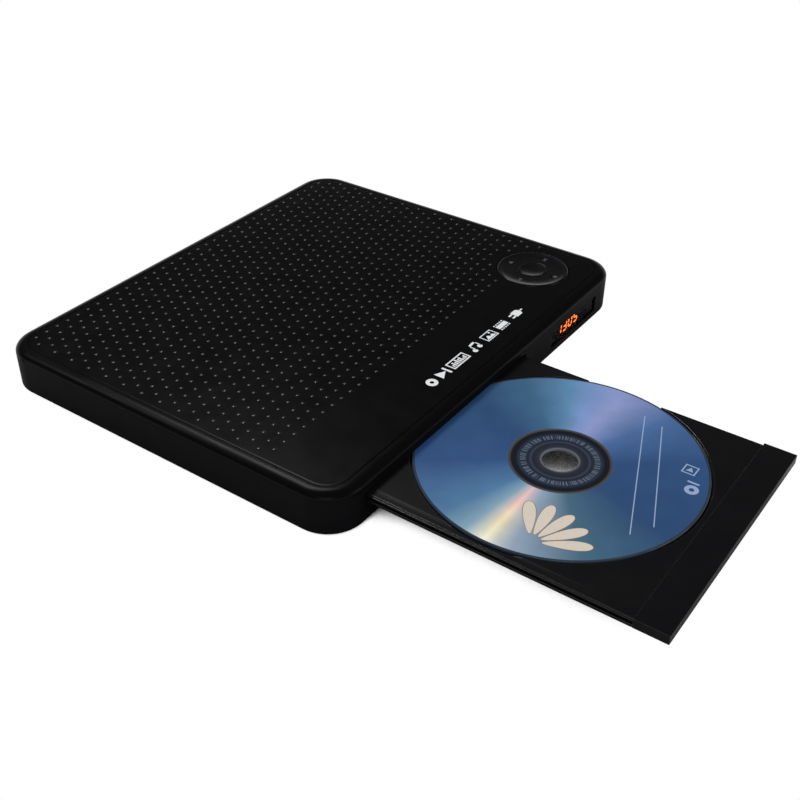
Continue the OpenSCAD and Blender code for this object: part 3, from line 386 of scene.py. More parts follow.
def unlit_segment():
    # An unlit segment: the same resin, dark and faintly red.
    return surface("unlit_segment_resin", (linear("#2a1010"), linear("#341414"), 1),
                   roughness=0.4, specular_ior_level=0.2)


def tray_abs(settings):
    # Spark-eroded ABS: the tray's grain is coarser than the case's, and its gloss a little stronger.
    return surface("matt_tray_abs", two_shades(settings.colour, 1.25, 25), (0.32, 0.4, 10), (0.45, 0.008),
                   roughness=0.36, specular_ior_level=0.08)


def rubbed_tray_abs(settings):
    # The tray's edges: the same ABS, rubbed smooth by its guides, so that it shines in thin lines.
    return surface("rubbed_tray_abs", two_shades(settings.colour, 1.4, 8), (0.16, 0.28, 5),
                   roughness=0.2, specular_ior_level=0.6)


def around(tree, centre):
    """The angle round an upright axis, from 0 to 1, and the distance from it in metres."""
    moved = add(tree, "ShaderNodeMapping", {"Location": tuple(-c for c in centre)},
                {"Vector": place_of(tree)})
    angle = add(tree, "ShaderNodeTexGradient", None, {"Vector": moved.outputs["Vector"]},
                gradient_type="RADIAL")
    flat = add(tree, "ShaderNodeVectorMath", {1: (1.0, 1.0, 0.0)}, {0: moved.outputs["Vector"]},
               operation="MULTIPLY")
    reach = add(tree, "ShaderNodeVectorMath", None, {0: flat.outputs["Vector"]}, operation="LENGTH")
    return angle.outputs["Fac"], reach.outputs["Value"]


def printed_label(settings, centre):
    # Lacquered label of a recordable disc: blue ink over the mirror. Painted into its colour are reflections
    # of its fine tracks: two fans of painted sheen, and one narrow, nearly white painted highlight.
    material, tree, shader = new_material("lacquered_disc_label", roughness=0.32, specular_ior_level=0.15,
                                          coat_weight=0.06, coat_roughness=0.12)
    angle, reach = around(tree, centre)
    # Painted sheen: the label's blue, lighter in two fans round the axis.
    label_blue_and_painted_sheen = add(tree, "ShaderNodeValToRGB", None, {"Fac": angle}, [
        (0.0, "#8fa9bb"), (1.0, "#8fa9bb"), (0.03, "#8c9fb4"), (0.1, "#44687f"), (0.2, "#2d4a72"),
        (0.34, "#2e4e7c"), (0.43, "#48699a"), (0.5, "#8a97c8"), (0.535, "#7893c6"), (0.565, "#5b86ad"),
        (0.62, "#3c6485"), (0.7, "#2d4d75"), (0.85, "#2e4f80"), (0.94, "#4d779f"), (0.975, "#7fa1b6")])
    # Painted highlight: a narrow, nearly white streak at one angle, whose tint changes along the radius.
    painted_streak_mask = add(tree, "ShaderNodeValToRGB", None, {"Fac": angle}, [
        (0.0, "#ffffff"), (1.0, "#ffffff"), (0.012, "#b0b0b0"), (0.03, "#000000"), (0.975, "#000000"),
        (0.992, "#c8c8c8")])
    along = add(tree, "ShaderNodeMapRange",
                {"From Min": settings.label_inner, "From Max": settings.label_outer}, {"Value": reach})
    painted_streak_colour = add(tree, "ShaderNodeValToRGB", None, {"Fac": along.outputs["Result"]}, [
        (0.0, "#d8b9bd"), (1.0, "#f8f4dc"), (0.3, "#f5c8bb"), (0.6, "#f5e0b6"), (0.85, "#eee6bf")])
    face = add(tree, "ShaderNodeMix", None, {0: painted_streak_mask.outputs["Color"], 6: label_blue_and_painted_sheen.outputs["Color"],
                                             7: painted_streak_colour.outputs["Color"]}, data_type="RGBA").outputs[2]
    tracks = add(tree, "ShaderNodeTexNoise", {"Scale": 1 / (11.111 * MM), "Detail": 2.0},
                 {"Vector": place_of(tree)})
    depth = add(tree, "ShaderNodeMapRange",
                {"From Min": 0.3, "From Max": 0.7, "To Min": 0.94, "To Max": 1.06},
                {"Value": tracks.outputs["Fac"]})
    shade = add(tree, "ShaderNodeMix", {0: 1.0}, {6: face, 7: depth.outputs["Result"]}, data_type="RGBA",
                blend_type="MULTIPLY")
    tree.links.new(shade.outputs[2], shader.inputs["Base Color"])
    uneven(tree, shader, 0.26, 0.36, 15)
    return material


def hub_polycarbonate(centre):
    # Clear polycarbonate hub with moulded rings and a ring of marks. Its colour is dark with painted shade
    # where the hole in the tray lies under it, and it has a painted highlight along the hole's edge.
    material, tree, shader = new_material("polycarbonate_hub", roughness=0.18, specular_ior_level=0.12)
    hub_inner, hub_outer = 7.5 * MM, 21.5 * MM
    marks_inner, marks_outer, ticks_round = 13.9 * MM, 16.3 * MM, 132.0
    angle, reach = around(tree, centre)
    radius = add(tree, "ShaderNodeMapRange", {"From Min": hub_inner, "From Max": hub_outer}, {"Value": reach})
    # Moulded rings, with painted light: dark painted shade over the hole, and a light painted highlight at
    # its edge.
    rings = add(tree, "ShaderNodeValToRGB", None, {"Fac": radius.outputs["Result"]}, [
        (0.0, "#74777d"), (1.0, "#5a5f66"), (0.04, "#4a4e57"), (0.08, "#2d323c"), (0.25, "#232833"),
        (0.33, "#3a4150"), (0.37, "#262c38"), (0.68, "#29323f"), (0.76, "#191c25"), (0.88, "#1b1e26"),
        (0.92, "#4a4238"), (0.96, "#3b4656")])
    ticks = add(tree, "ShaderNodeMath", {1: ticks_round}, {0: angle}, operation="MULTIPLY")
    code = add(tree, "ShaderNodeTexNoise", {"Scale": 1.1, "Detail": 0.0}, {"W": ticks.outputs["Value"]},
               noise_dimensions="1D")
    marks = add(tree, "ShaderNodeMath", {1: 0.52}, {0: code.outputs["Fac"]}, operation="GREATER_THAN")
    inside = add(tree, "ShaderNodeMath", {1: marks_inner}, {0: reach}, operation="GREATER_THAN")
    outside = add(tree, "ShaderNodeMath", {1: marks_outer}, {0: reach}, operation="LESS_THAN")
    both = add(tree, "ShaderNodeMath", None, {0: inside.outputs["Value"], 1: outside.outputs["Value"]},
               operation="MULTIPLY")
    mask = add(tree, "ShaderNodeMath", None, {0: both.outputs["Value"], 1: marks.outputs["Value"]},
               operation="MULTIPLY")
    shown = add(tree, "ShaderNodeMix", {7: (*linear("#5c697c"), 1.0)},
                {0: mask.outputs["Value"], 6: rings.outputs["Color"]}, data_type="RGBA")
    tree.links.new(shown.outputs[2], shader.inputs["Base Color"])
    uneven(tree, shader, 0.12, 0.24, 4)
    return material


def disc_mirror():
    # The recorded side: vapour-coated aluminium under polycarbonate, violet blue from its dye.
    return surface("dye_coated_mirror", (linear("#6b5fa8"), linear("#5a78b4"), 30), None, (2.0, 0.001),
                   metallic=1.0, roughness=0.12, coat_weight=0.5, coat_roughness=0.05, anisotropic=0.6)


def polycarbonate_rim():
    # The clear rim of the disc: bare polycarbonate, dark at its edge.
    return surface("polycarbonate_rim", (linear("#26323f"), linear("#38414b"), 5),
                   roughness=0.15, specular_ior_level=0.4)


def plated_metal(name, hex_colour, roughness, grain_mm):
    # Bare or plated metal, such as zinc-plated steel: bright, with a fine drawn grain and dull patches.
    return surface(name, two_shades(linear(hex_colour), 0.75, 3), (roughness, roughness + 0.15, 2),
                   (grain_mm, 0.003), metallic=1.0)


def moulded(name, hex_colour, roughness, grain_mm=0.5):
    # An inner moulding, such as acetal, nylon, ABS or rubber: plain, with flow marks and a light grain.
    return surface(name, two_shades(linear(hex_colour), 0.85, 6), (roughness, roughness + 0.12, 5),
                   (grain_mm, 0.004), specular_ior_level=0.35)


def solder_mask():
    # Glass-fibre circuit board under green solder mask, with tracks as faint raised lines.
    material, tree, shader = new_material("green_solder_mask", roughness=0.35)
    bricks = add(tree, "ShaderNodeTexBrick",
                 {"Scale": 1 / (4 * MM), "Mortar Size": 0.06, "Color1": (*linear("#1d5b34"), 1.0),
                  "Color2": (*linear("#226a3c"), 1.0), "Mortar": (*linear("#3a8a50"), 1.0)},
                 {"Vector": place_of(tree)})
    tree.links.new(bricks.outputs["Color"], shader.inputs["Base Color"])
    bump = add(tree, "ShaderNodeBump", {"Strength": 0.6, "Distance": 0.03 * MM},
               {"Height": bricks.outputs["Fac"]})
    tree.links.new(bump.outputs["Normal"], shader.inputs["Normal"])
    return material


def lens_glass():
    # Coated optical glass of the pickup: clear, with a blue violet bloom.
    return surface("coated_optical_glass", grains=(4.0, 0.001), base_colour=linear("#8fb4e6"), roughness=0.02,
                   ior=1.52, transmission_weight=0.8)


# ---- Pieces ----

class PLAYER_OT_cover(Operator):
    """Makes the top cover's shell and its field of raised dots"""
    bl_idname = "player.cover"
    bl_label = "Top cover"

    def execute(self, context):
        settings = context.scene.player_cover
        self.make_shell(settings)
        self.make_dots(settings)
        return {"FINISHED"}

    def make_shell(self, settings):
        """The CAD cover with a softer shoulder, a chamfered parting line and rounded groove edges."""
        low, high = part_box("top_cover")
        drop, width = settings.shoulder_drop, settings.shoulder_width
        parting = high.z - drop - 0.2 * MM
        bm = copy_of("top_cover")
        for vert in bm.verts:
            depth, inward = self.from_outline(vert.co, low, high, settings.corner)
            arc_height = high.z - drop + math.sqrt(max(0.0, drop ** 2 - (drop - min(depth, drop)) ** 2))
            if depth < drop + ON_LEVEL and abs(vert.co.z - arc_height) < ON_LINE:
                vert.co += inward * depth * (width / drop - 1)

        def depth_of(vert):
            return self.from_outline(vert.co, low, high, settings.corner)[0]

        def at_parting(edge):
            return all(abs(v.co.z - parting) < 2 * ON_LEVEL and depth_of(v) < 2 * ON_LINE for v in edge.verts)

        def in_field(face):
            level = face.normal.z > 0.99 and face.calc_center_median().z > high.z - ON_LEVEL
            return level and all(depth_of(v) > settings.field_edge - ON_LINE for v in face.verts)

        soften(bm, settings.seam, 50, 1, at_parting)
        bmesh.ops.inset_region(bm, faces=[f for f in bm.faces if in_field(f)], thickness=settings.field_slope,
                               use_even_offset=True, use_boundary=True)
        for vert in bm.verts:
            if vert.co.z >= high.z - ON_LEVEL and abs(depth_of(vert) - settings.field_edge) < ON_LINE:
                vert.co.z -= settings.field_drop
        near_top = high.z - 0.5 * MM
        soften(bm, 0.06 * MM, 40, 2, lambda edge: min(v.co.z for v in edge.verts) > near_top)
        as_piece("cover_shell", bm, "root", [cover_abs(settings)], ("top_cover",))

    @staticmethod
    def from_outline(place, low, high, corner):
        """How far a point lies inside the rounded outline, and the direction inwards."""
        centre = (low + high) / 2
        half = (high - low) / 2
        away = Vector((abs(place.x - centre.x) - half.x + corner, abs(place.y - centre.y) - half.y + corner))
        sign = Vector((math.copysign(1, place.x - centre.x), math.copysign(1, place.y - centre.y)))
        if away.x > 0 and away.y > 0:
            outward = away.normalized()
            reach = away.length
        else:
            outward = Vector((1, 0)) if away.x > away.y else Vector((0, 1))
            reach = max(away.x, away.y)
        return corner - reach, Vector((-outward.x * sign.x, -outward.y * sign.y, 0))

    def make_dots(self, settings):
        low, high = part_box("top_cover")
        pad = middle("control_ring")
        inset = settings.edge_margin
        corner = settings.corner - inset
        bm = bmesh.new()
        seed = self.one_dot(settings)
        columns = int((high.x - low.x) / settings.dot_pitch) + 1
        for row in range(settings.rows):
            y = low.y + settings.plain_strip + row * settings.row_pitch
            shift = (row % 2) * settings.dot_pitch / 2
            for column in range(columns):
                x = high.x - inset - 0.4 * MM - shift - column * settings.dot_pitch
                spot = Vector((x, y, high.z))
                if (spot - pad).xy.length < settings.pad_margin:
                    continue
                if not self.inside(x, y, low, high, inset, corner):
                    continue
                first = len(bm.verts)
                bm.from_mesh(seed)
                bm.verts.ensure_lookup_table()
                bmesh.ops.translate(bm, verts=bm.verts[first:], vec=spot)
        bpy.data.meshes.remove(seed)
        as_piece("cover_dots", bm, "root", [dot_abs(settings)])

    @staticmethod
    def inside(x, y, low, high, inset, corner):
        """Whether a point lies in the rounded field that the dots fill."""
        from_x = max(low.x + inset + corner - x, x - (high.x - inset - corner), 0)
        from_y = max(low.y + inset + corner - y, y - (high.y - inset - corner), 0)
        return math.hypot(from_x, from_y) <= corner

    @staticmethod
    def one_dot(settings):
        """The mesh of one low dome that stands on the cover's face."""
        bm = bmesh.new()
        radius = settings.dot_width / 2
        rings = [(1.0, 0.0), (0.86, 0.45), (0.55, 0.85)]
        loops = []
        for share, rise in rings:
            made = bmesh.ops.create_circle(bm, radius=radius * share, segments=12,
                                           matrix=Matrix.Translation((0, 0, rise * settings.dot_height)))
            loops.append({e for v in made["verts"] for e in v.link_edges})
        for lower, upper in zip(loops, loops[1:]):
            bmesh.ops.bridge_loops(bm, edges=list(lower | upper))
        top = bm.verts.new((0, 0, settings.dot_height))
        for edge in loops[-1]:
            bm.faces.new((*edge.verts, top))
        bmesh.ops.contextual_create(bm, geom=list(loops[0]))
        bmesh.ops.recalc_face_normals(bm, faces=bm.faces)
        mesh = bpy.data.meshes.new("dot")
        bm.to_mesh(mesh)
        bm.free()
        return mesh


class PLAYER_OT_marks(Operator):
    """Prints the row of plain pictograms along the cover's front edge"""
    bl_idname = "player.marks"
    bl_label = "Printed marks"

    film = 0.03 * MM
    from_middle = 82.4 * MM

    def execute(self, context):
        low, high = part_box("top_cover")
        case_middle = (low + high) / 2
        self.level = (high.z, high.z + self.film)
        self.origin = Vector((case_middle.x, case_middle.y - self.from_middle))
        bm = bmesh.new()
        self.disc_and_play(bm, -23)
        self.bars(bm, -6.3)
        self.note(bm, 8)
        self.picture(bm, 20)
        self.film_strip(bm, 31.5)
        self.plug(bm, 44)
        bmesh.ops.recalc_face_normals(bm, faces=bm.faces)
        as_piece("cover_marks", bm, "root",
                 [screen_ink("white_screen_ink", context.scene.player_cover.ink)])
        return {"FINISHED"}

    def shape(self, bm, x, points):
        """A filled shape from points in millimetres, measured from a place in the row."""
        plate(bm, placed(self.origin, [(x + px, py) for px, py in points]), *self.level)

    def bar(self, bm, x, x0, x1, y0, y1):
        self.shape(bm, x, [(x0, y0), (x1, y0), (x1, y1), (x0, y1)])

    def frame(self, bm, x, x0, x1, y0, y1, line):
        self.bar(bm, x, x0, x1, y0, y0 + line)
        self.bar(bm, x, x0, x1, y1 - line, y1)
        self.bar(bm, x, x0, x0 + line, y0 + line, y1 - line)
        self.bar(bm, x, x1 - line, x1, y0 + line, y1 - line)

    def disc_and_play(self, bm, x):
        washer(bm, self.origin.x + (x - 4.5) * MM, self.origin.y + 2.6 * MM, 1.0 * MM, 2.8 * MM, *self.level)
        self.shape(bm, x, [(1, 0), (6.4, 2.7), (1, 5.4)])
        self.bar(bm, x, 6.8, 8, 0, 5.4)

    def bars(self, bm, x):
        self.frame(bm, x, -6.6, 6.6, 0, 5.6, 0.7)
        for k, height in enumerate([1.6, 3.0, 2.2, 3.6, 2.6, 3.2, 1.4, 2.4]):
            self.bar(bm, x, -5.2 + 1.35 * k, -4.3 + 1.35 * k, 1.1, 1.1 + height)

    def note(self, bm, x):
        self.shape(bm, x, round_outline(-2.6, 1.0, 1.3, 14))
        self.shape(bm, x, round_outline(2.0, 1.5, 1.3, 14))
        self.bar(bm, x, -1.9, -1.3, 1.0, 5.6)
        self.bar(bm, x, 2.7, 3.3, 1.5, 6.1)
        self.shape(bm, x, [(-1.9, 4.4), (3.3, 4.9), (3.3, 6.1), (-1.9, 5.6)])

    def picture(self, bm, x):
        self.frame(bm, x, -4.4, 4.4, 0, 5.6, 0.55)
        self.shape(bm, x, [(-3.5, 0.9), (-1.2, 3.6), (0.4, 1.9), (1.6, 3.0), (3.5, 0.9)])
        self.shape(bm, x, round_outline(2.0, 4.2, 0.6, 10))

    def film_strip(self, bm, x):
        self.bar(bm, x, -3.8, 3.8, 1.5, 4.1)
        for k in range(5):
            for y in (0.2, 4.6):
                self.bar(bm, x, -3.8 + 1.6 * k, -2.9 + 1.6 * k, y, y + 0.8)

    def plug(self, bm, x):
        self.shape(bm, x, [(-1.4, 0.6), (2.6, 0.6), (3.6, 1.6), (3.6, 4.0), (2.6, 5.0), (-1.4, 5.0)])
        self.bar(bm, x, -4.2, -1.6, 1.2, 2.2)
        self.bar(bm, x, -4.2, -1.6, 3.4, 4.4)
        self.bar(bm, x, 3.7, 5.8, 2.4, 3.2)


class PLAYER_OT_case(Operator):
    """Makes the lower case, its feet and the screws that close it"""
    bl_idname = "player.case"
    bl_label = "Lower case"

    def execute(self, context):
        settings = context.scene.player_case
        low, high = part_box("bottom_case")

        def outside(edge):
            place = (edge.verts[0].co + edge.verts[1].co) / 2
            to_wall = min(place.x - low.x, high.x - place.x, place.y - low.y, high.y - place.y)
            return to_wall < 0.3 * MM or place.z < low.z + 0.1 * MM

        refined("case_shell", "bottom_case", "root", [case_abs(settings)], settings.edge, 50,
                chosen=outside)
        refined("feet", "rubber_feet", "root", [foot_rubber(settings)], 0.5 * MM, 50, segments=4)
        zinc = plated_metal("zinc_plated_screw_steel", "#a9abae", 0.25, 0.3)
        refined("closing_screws", "case_screws", "root", [zinc], 0.12 * MM, 50)
        return {"FINISHED"}


class PLAYER_OT_pad(Operator):
    """Makes the rocking ring, its marks and the centre button"""
    bl_idname = "player.pad"
    bl_label = "Control pad"

    def execute(self, context):
        settings = context.scene.player_pad
        keys = key_abs(settings)
        self.make_ring(settings, keys)
        self.make_button(keys)
        self.make_marks()
        return {"FINISHED"}

    def make_ring(self, settings, keys):
        low, high = (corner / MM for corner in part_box("control_ring"))
        centre = middle("control_ring")
        centre.z = 0
        top, flange, wide = high.z, low.z + 0.3, (high.x - low.x) / 2
        crown, dish = settings.crown / MM, settings.dish / MM
        flange_width, flange_height, inner, lip, steps = 1.4, 0.9, 7.6, 0.4, 14
        outer = wide - flange_width
        crest, foot = outer - crown, inner + 0.9
        face = [(foot + (crest - foot) * k / steps, top - dish * (1 - (k / steps) ** 3))
                for k in range(steps - 1, -1, -1)]
        profile = ([(inner, flange), (wide, flange), (wide, flange + flange_height),
                    (outer, flange + flange_height)] + arc(crest, top - crown, crown, 0, 90, 8) + face
                   + arc(inner + lip, top - dish - lip, lip, 90, 180, 4) + [(inner, flange)])
        bm = bmesh.new()
        turned(bm, profile, centre, 128)
        peg_reach, peg_radius, peg_height = 13.5, 1.6 * MM, 0.32 * MM
        for k in range(4):
            angle = math.radians(90 * k)
            place = centre + Vector((peg_reach * math.cos(angle), peg_reach * math.sin(angle), 0)) * MM
            place.z = low.z * MM + peg_height / 2
            bmesh.ops.create_cone(bm, cap_ends=True, segments=20, radius1=peg_radius, radius2=peg_radius,
                                  depth=peg_height, matrix=Matrix.Translation(place))
        as_piece("rocker_ring", bm, "control_ring", [keys], ("control_ring",))

    def make_button(self, keys):
        low, high = (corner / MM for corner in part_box("centre_button"))
        centre = middle("centre_button")
        centre.z = 0
        radius, top = (high.x - low.x) / 2, high.z
        round_edge, dish, stem = 0.45, 0.75, 2.0
        hollow = [((radius - round_edge) * (1 - k / 10), top - dish * (1 - (1 - k / 10) ** 2))
                  for k in range(1, 11)]
        profile = ([(0.0, low.z), (stem, low.z), (stem, low.z + round_edge), (radius, low.z + round_edge)]
                   + arc(radius - round_edge, top - round_edge, round_edge, 0, 90, 6) + hollow)
        bm = bmesh.new()
        turned(bm, profile, centre, 96)
        as_piece("select_button", bm, "centre_button", [keys], ("centre_button",))

    def make_marks(self):
        """Small raised marks on the ring: previous, next, stop and eject."""
        centre = middle("control_ring")
        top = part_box("control_ring")[1].z
        bm = bmesh.new()
        level = (top - 0.9 * MM, top - 0.6 * MM)
        reach = 12.9 * MM

        def mark(angle, outlines):
            turn = math.radians(angle)
            base = centre.xy + Vector((math.cos(turn), math.sin(turn))) * reach
            for outline in outlines:
                plate(bm, placed(base, outline), *level)

        mark(0, [[(-1.3, -1), (0.3, 0), (-1.3, 1)], [(0.5, -1), (1.0, -1), (1.0, 1), (0.5, 1)]])
        mark(180, [[(1.3, -1), (1.3, 1), (-0.3, 0)], [(-1.0, -1), (-0.5, -1), (-0.5, 1), (-1.0, 1)]])
        mark(90, [[(-1.3, -0.3), (1.3, -0.3), (0, 1.1)],
                  [(-1.3, -1.0), (1.3, -1.0), (1.3, -0.6), (-1.3, -0.6)]])
        mark(270, [[(-0.9, -0.9), (0.9, -0.9), (0.9, 0.9), (-0.9, 0.9)]])
        bmesh.ops.recalc_face_normals(bm, faces=bm.faces)
        as_piece("ring_marks", bm, "control_ring",
                 [screen_ink("grey_pad_ink", linear("#4c4e51"))])


class PLAYER_OT_display(Operator):
    """Makes the display's window, its block and its four figures"""
    bl_idname = "player.display"
    bl_label = "Display"

    FIGURE_WIDTH = 3.85 * MM
    # Bars of a figure in order: top, upper right, lower right, bottom, lower left, upper left, middle.
    SHAPES = {"0": "1111110", "1": "0110000", "2": "1101101", "3": "1111001", "4": "0110011",
              "5": "1011011", "6": "1011111", "7": "1110000", "8": "1111111", "9": "1111011"}

    def execute(self, context):
        settings = context.scene.player_display
        refined("display_lens", "display_window", "root", [smoked_acrylic()], 0.15 * MM, 60)
        refined("display_block", "led_display", "root", [display_epoxy()], 0.2 * MM, 60)
        low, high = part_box("display_digits")
        face = high.y
        bm = bmesh.new()
        pitch = (high.x - low.x - self.FIGURE_WIDTH) / 3
        for place, figure in enumerate("%04d" % settings.number):
            left = low.x + place * pitch
            for lit, bar in zip(self.SHAPES[figure], self.bars()):
                self.segment(bm, left, low.z, face, bar, int(lit))
        bmesh.ops.recalc_face_normals(bm, faces=bm.faces)
        as_piece("display_figures", bm, "root", [unlit_segment(), lit_segment(settings)],
                 ("display_digits",))
        return {"FINISHED"}

    @staticmethod
    def bars():
        """Each bar's two ends in millimetres, from the figure's lower left corner."""
        left, right, low, half, high = 0.3, 3.5, 0.3, 2.7, 5.1
        return [((left, high), (right, high)), ((right, high), (right, half)), ((right, half), (right, low)),
                ((right, low), (left, low)), ((left, low), (left, half)), ((left, half), (left, high)),
                ((left, half), (right, half))]

    @staticmethod
    def segment(bm, left, base, face, bar, material_index):
        """One bar with pointed ends, leaning as display figures do."""
        (x0, z0), (x1, z1) = bar
        thick, tip, gap, lean, depth = 0.28, 0.42, 0.18, 0.06, 0.2
        along = Vector((x1 - x0, z1 - z0)).normalized()
        side = Vector((-along.y, along.x)) * thick
        start, end = Vector((x0, z0)) + along * gap, Vector((x1, z1)) - along * gap
        outline = [start, start + along * tip + side, end - along * tip + side, end,
                   end - along * tip - side, start + along * tip - side]
        verts = [bm.verts.new((left + (p.x + lean * p.y) * MM, face, base + p.y * MM)) for p in outline]
        face_made = bm.faces.new(verts)
        grown = bmesh.ops.extrude_face_region(bm, geom=[face_made])["geom"]
        moved = [v for v in grown if isinstance(v, bmesh.types.BMVert)]
        bmesh.ops.translate(bm, verts=moved, vec=(0, -depth * MM, 0))
        for f in {f for v in verts + moved for f in v.link_faces}:
            f.material_index = material_index


class PLAYER_OT_tray(Operator):
    """Makes the tray and its front"""
    bl_idname = "player.tray"
    bl_label = "Tray"

    def execute(self, context):
        settings = context.scene.player_tray
        plastic = tray_abs(settings)
        edges = rubbed_tray_abs(settings)
        for name, node in (("disc_tray", "tray"), ("tray_front", "tray_bezel")):
            refined(name, node, "tray", [plastic, edges], settings.edge, 50, segments=3)
        return {"FINISHED"}


class PLAYER_OT_disc(Operator):
    """Makes the disc with its hub, label, mirror and printed motif"""
    bl_idname = "player.disc"
    bl_label = "Disc"

    def execute(self, context):
        settings = context.scene.player_disc
        low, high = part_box("disc")
        centre = middle("disc")
        centre.x = high.x - (high.y - low.y) / 2
        centre.z = 0
        self.make_body(settings, low.z / MM, high.z / MM, centre)
        self.make_print(settings, high.z, centre)
        return {"FINISHED"}

    def make_body(self, settings, bottom, top, centre):
        hole, rim, edge = 7.5, 60.0, 0.12
        inner, outer = settings.label_inner / MM, settings.label_outer / MM
        sunk, groove = top - 0.05, top - 0.12
        profile = [(hole, bottom + edge), (hole + edge, bottom), (16.6, bottom), (16.9, bottom + 0.1),
                   (17.4, bottom + 0.1), (17.7, bottom), (rim - edge, bottom), (rim, bottom + edge),
                   (rim, top - edge), (rim - edge, top), (outer, top - 0.01), (inner, top - 0.01),
                   (inner - 0.4, sunk), (18.0, sunk), (17.6, groove), (17.0, groove), (16.6, sunk),
                   (hole + 0.6, sunk), (hole + 0.3, top), (hole + edge, top), (hole, top - edge),
                   (hole, bottom + edge)]
        bm = bmesh.new()
        turned(bm, profile, centre, 192)
        for face in bm.faces:
            place = face.calc_center_median()
            radius = (place - centre).xy.length / MM
            if place.z > (top - 0.1) * MM and inner - 0.01 < radius < outer + 0.01:
                face.material_index = 1
            elif face.normal.z < -0.9 and radius > inner:
                face.material_index = 2
            elif radius > outer:
                face.material_index = 3
        as_piece("optical_disc", bm, "disc",
                 [hub_polycarbonate(centre), printed_label(settings, centre), disc_mirror(),
                  polycarbonate_rim()], ("disc",))

    def make_print(self, settings, top, centre):
        """A fan of rounded petals, two writing lines and two plain marks."""
        level = (top - 0.005 * MM, top + 0.001 * MM)
        cream = screen_ink("cream_label_ink", settings.cream)
        outline = screen_ink("brown_outline_ink", linear("#7d6757"))
        pale = screen_ink("pale_blue_label_ink", linear("#93a9cc"))
        self.petals(cream, outline, centre, level)
        bm = bmesh.new()
        for start, end in (((-24.5, -43.0), (48.0, -14.7)), ((-15.5, -48.5), (45.3, -23.9))):
            self.line(bm, centre, start, end, 0.22, level)
        self.marks(bm, centre, level)
        bmesh.ops.recalc_face_normals(bm, faces=bm.faces)
        as_piece("label_lines", bm, "disc", [pale])

    @staticmethod
    def line(bm, centre, start, end, half_width, level):
        """A straight printed line between two points, in millimetres from the disc's axis."""
        a, b = Vector(start), Vector(end)
        side = Vector((-(b - a).y, (b - a).x)).normalized() * half_width
        plate(bm, placed(centre, (a + side, a - side, b - side, b + side)), *level)

    def marks(self, bm, centre, level):
        """A disc mark with a short bar beside it, and a square mark with a triangle in it, near the rim."""
        ring_x, ring_y = 13.5, -51.0
        washer(bm, centre.x + ring_x * MM, centre.y + ring_y * MM, 1.1 * MM, 2.9 * MM, *level)
        self.line(bm, centre, (ring_x + 4.4, ring_y - 1.4), (ring_x + 4.4, ring_y + 3.6), 0.5, level)
        square_x, square_y = 25.0, -45.5
        for x in (-2.6, 2.6):
            self.line(bm, centre, (square_x + x, square_y - 2.9), (square_x + x, square_y + 2.9), 0.3, level)
        for y in (-2.6, 2.6):
            self.line(bm, centre, (square_x - 2.3, square_y + y), (square_x + 2.3, square_y + y), 0.3,
                      level)
        outline = [(square_x + x, square_y + y) for x, y in ((-1.1, -1.5), (1.6, 0), (-1.1, 1.5))]
        plate(bm, placed(centre, outline), *level)

    def petals(self, cream, outline, centre, level):
        """Five rounded petals that open from one foot, each with an outline under it."""
        foot, count, steps = Vector((-50.0, -14.5)), 5, 24
        first_turn, turn_step = -62, 23
        to_middle, half_length, half_width = 14.0, 9.5, 3.4
        for name, ink, grow, lift in (("label_motif_outline", outline, 0.3, -0.003 * MM),
                                      ("label_motif", cream, 0.0, 0.0)):
            bm = bmesh.new()
            for k in range(count):
                turn = math.radians(first_turn + turn_step * k)
                along = Vector((math.cos(turn), math.sin(turn)))
                across = Vector((-along.y, along.x))
                points = []
                for step in range(steps):
                    angle = math.tau * step / steps
                    reach = to_middle + (half_length + grow) * math.cos(angle)
                    spread = (half_width + grow) * math.sin(angle) * (0.7 + 0.3 * math.cos(angle))
                    points.append(foot + along * reach + across * spread)
                plate(bm, placed(centre, points), level[0] + lift, level[1] + lift)
            bmesh.ops.recalc_face_normals(bm, faces=bm.faces)
            as_piece(name, bm, "disc", [ink])


class PLAYER_OT_jacks(Operator):
    """Makes the sockets at the back and the power switch's knob"""
    bl_idname = "player.jacks"
    bl_label = "Jacks"

    def execute(self, context):
        nickel = plated_metal("nickel_plated_brass", "#c9c4b8", 0.16, 0.4)
        refined("phono_sleeves", "rca_sleeves", "root", [nickel], 0.12 * MM, 50)
        self.make_inserts()
        tin = plated_metal("tinned_socket_steel", "#b9bcc0", 0.28, 0.35)
        refined("usb_shell", "usb_socket", "root", [tin], 0.1 * MM, 50)
        nylon = moulded("black_nylon", "#141416", 0.4)
        refined("power_inlet", "power_jack", "root", [nylon], 0.15 * MM, 50)
        refined("phono_housings", "rca_housings", "root", [nylon], 0.2 * MM, 50)
        self.make_knob(nylon)
        return {"FINISHED"}

    def make_inserts(self):
        """The sockets' coloured rings: yellow for the picture, white and red for the sound."""
        inks = (("yellow", "#d9a50f"), ("white", "#dcdad2"), ("red", "#a81812"))
        colours = [moulded(name + "_polypropylene", hex_colour, 0.35) for name, hex_colour in inks]
        bm = copy_of("rca_inserts")
        soften(bm, 0.12 * MM, 50)
        low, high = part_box("rca_inserts")
        third = (high.x - low.x) / 3
        for face in bm.faces:
            face.material_index = min(2, int((face.calc_center_median().x - low.x) / third))
        as_piece("phono_inserts", bm, "root", colours, ("rca_inserts",))

    def make_knob(self, nylon):
        """The slide knob, with finger ribs across its face."""
        low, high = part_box("power_knob")
        bm = bmesh.new()
        block(bm, low, (high.x - 0.35 * MM, high.y, high.z))
        ribs, share, inset = 5, 0.55, 0.2
        step = (high.y - low.y) / ribs
        for k in range(ribs):
            y = low.y + step * (k + inset)
            block(bm, (high.x - 0.45 * MM, y, low.z + inset * MM),
                  (high.x, y + share * step, high.z - inset * MM))
        soften(bm, 0.06 * MM, 60)
        as_piece("switch_knob", bm, "power_knob", [nylon], ("power_knob",))


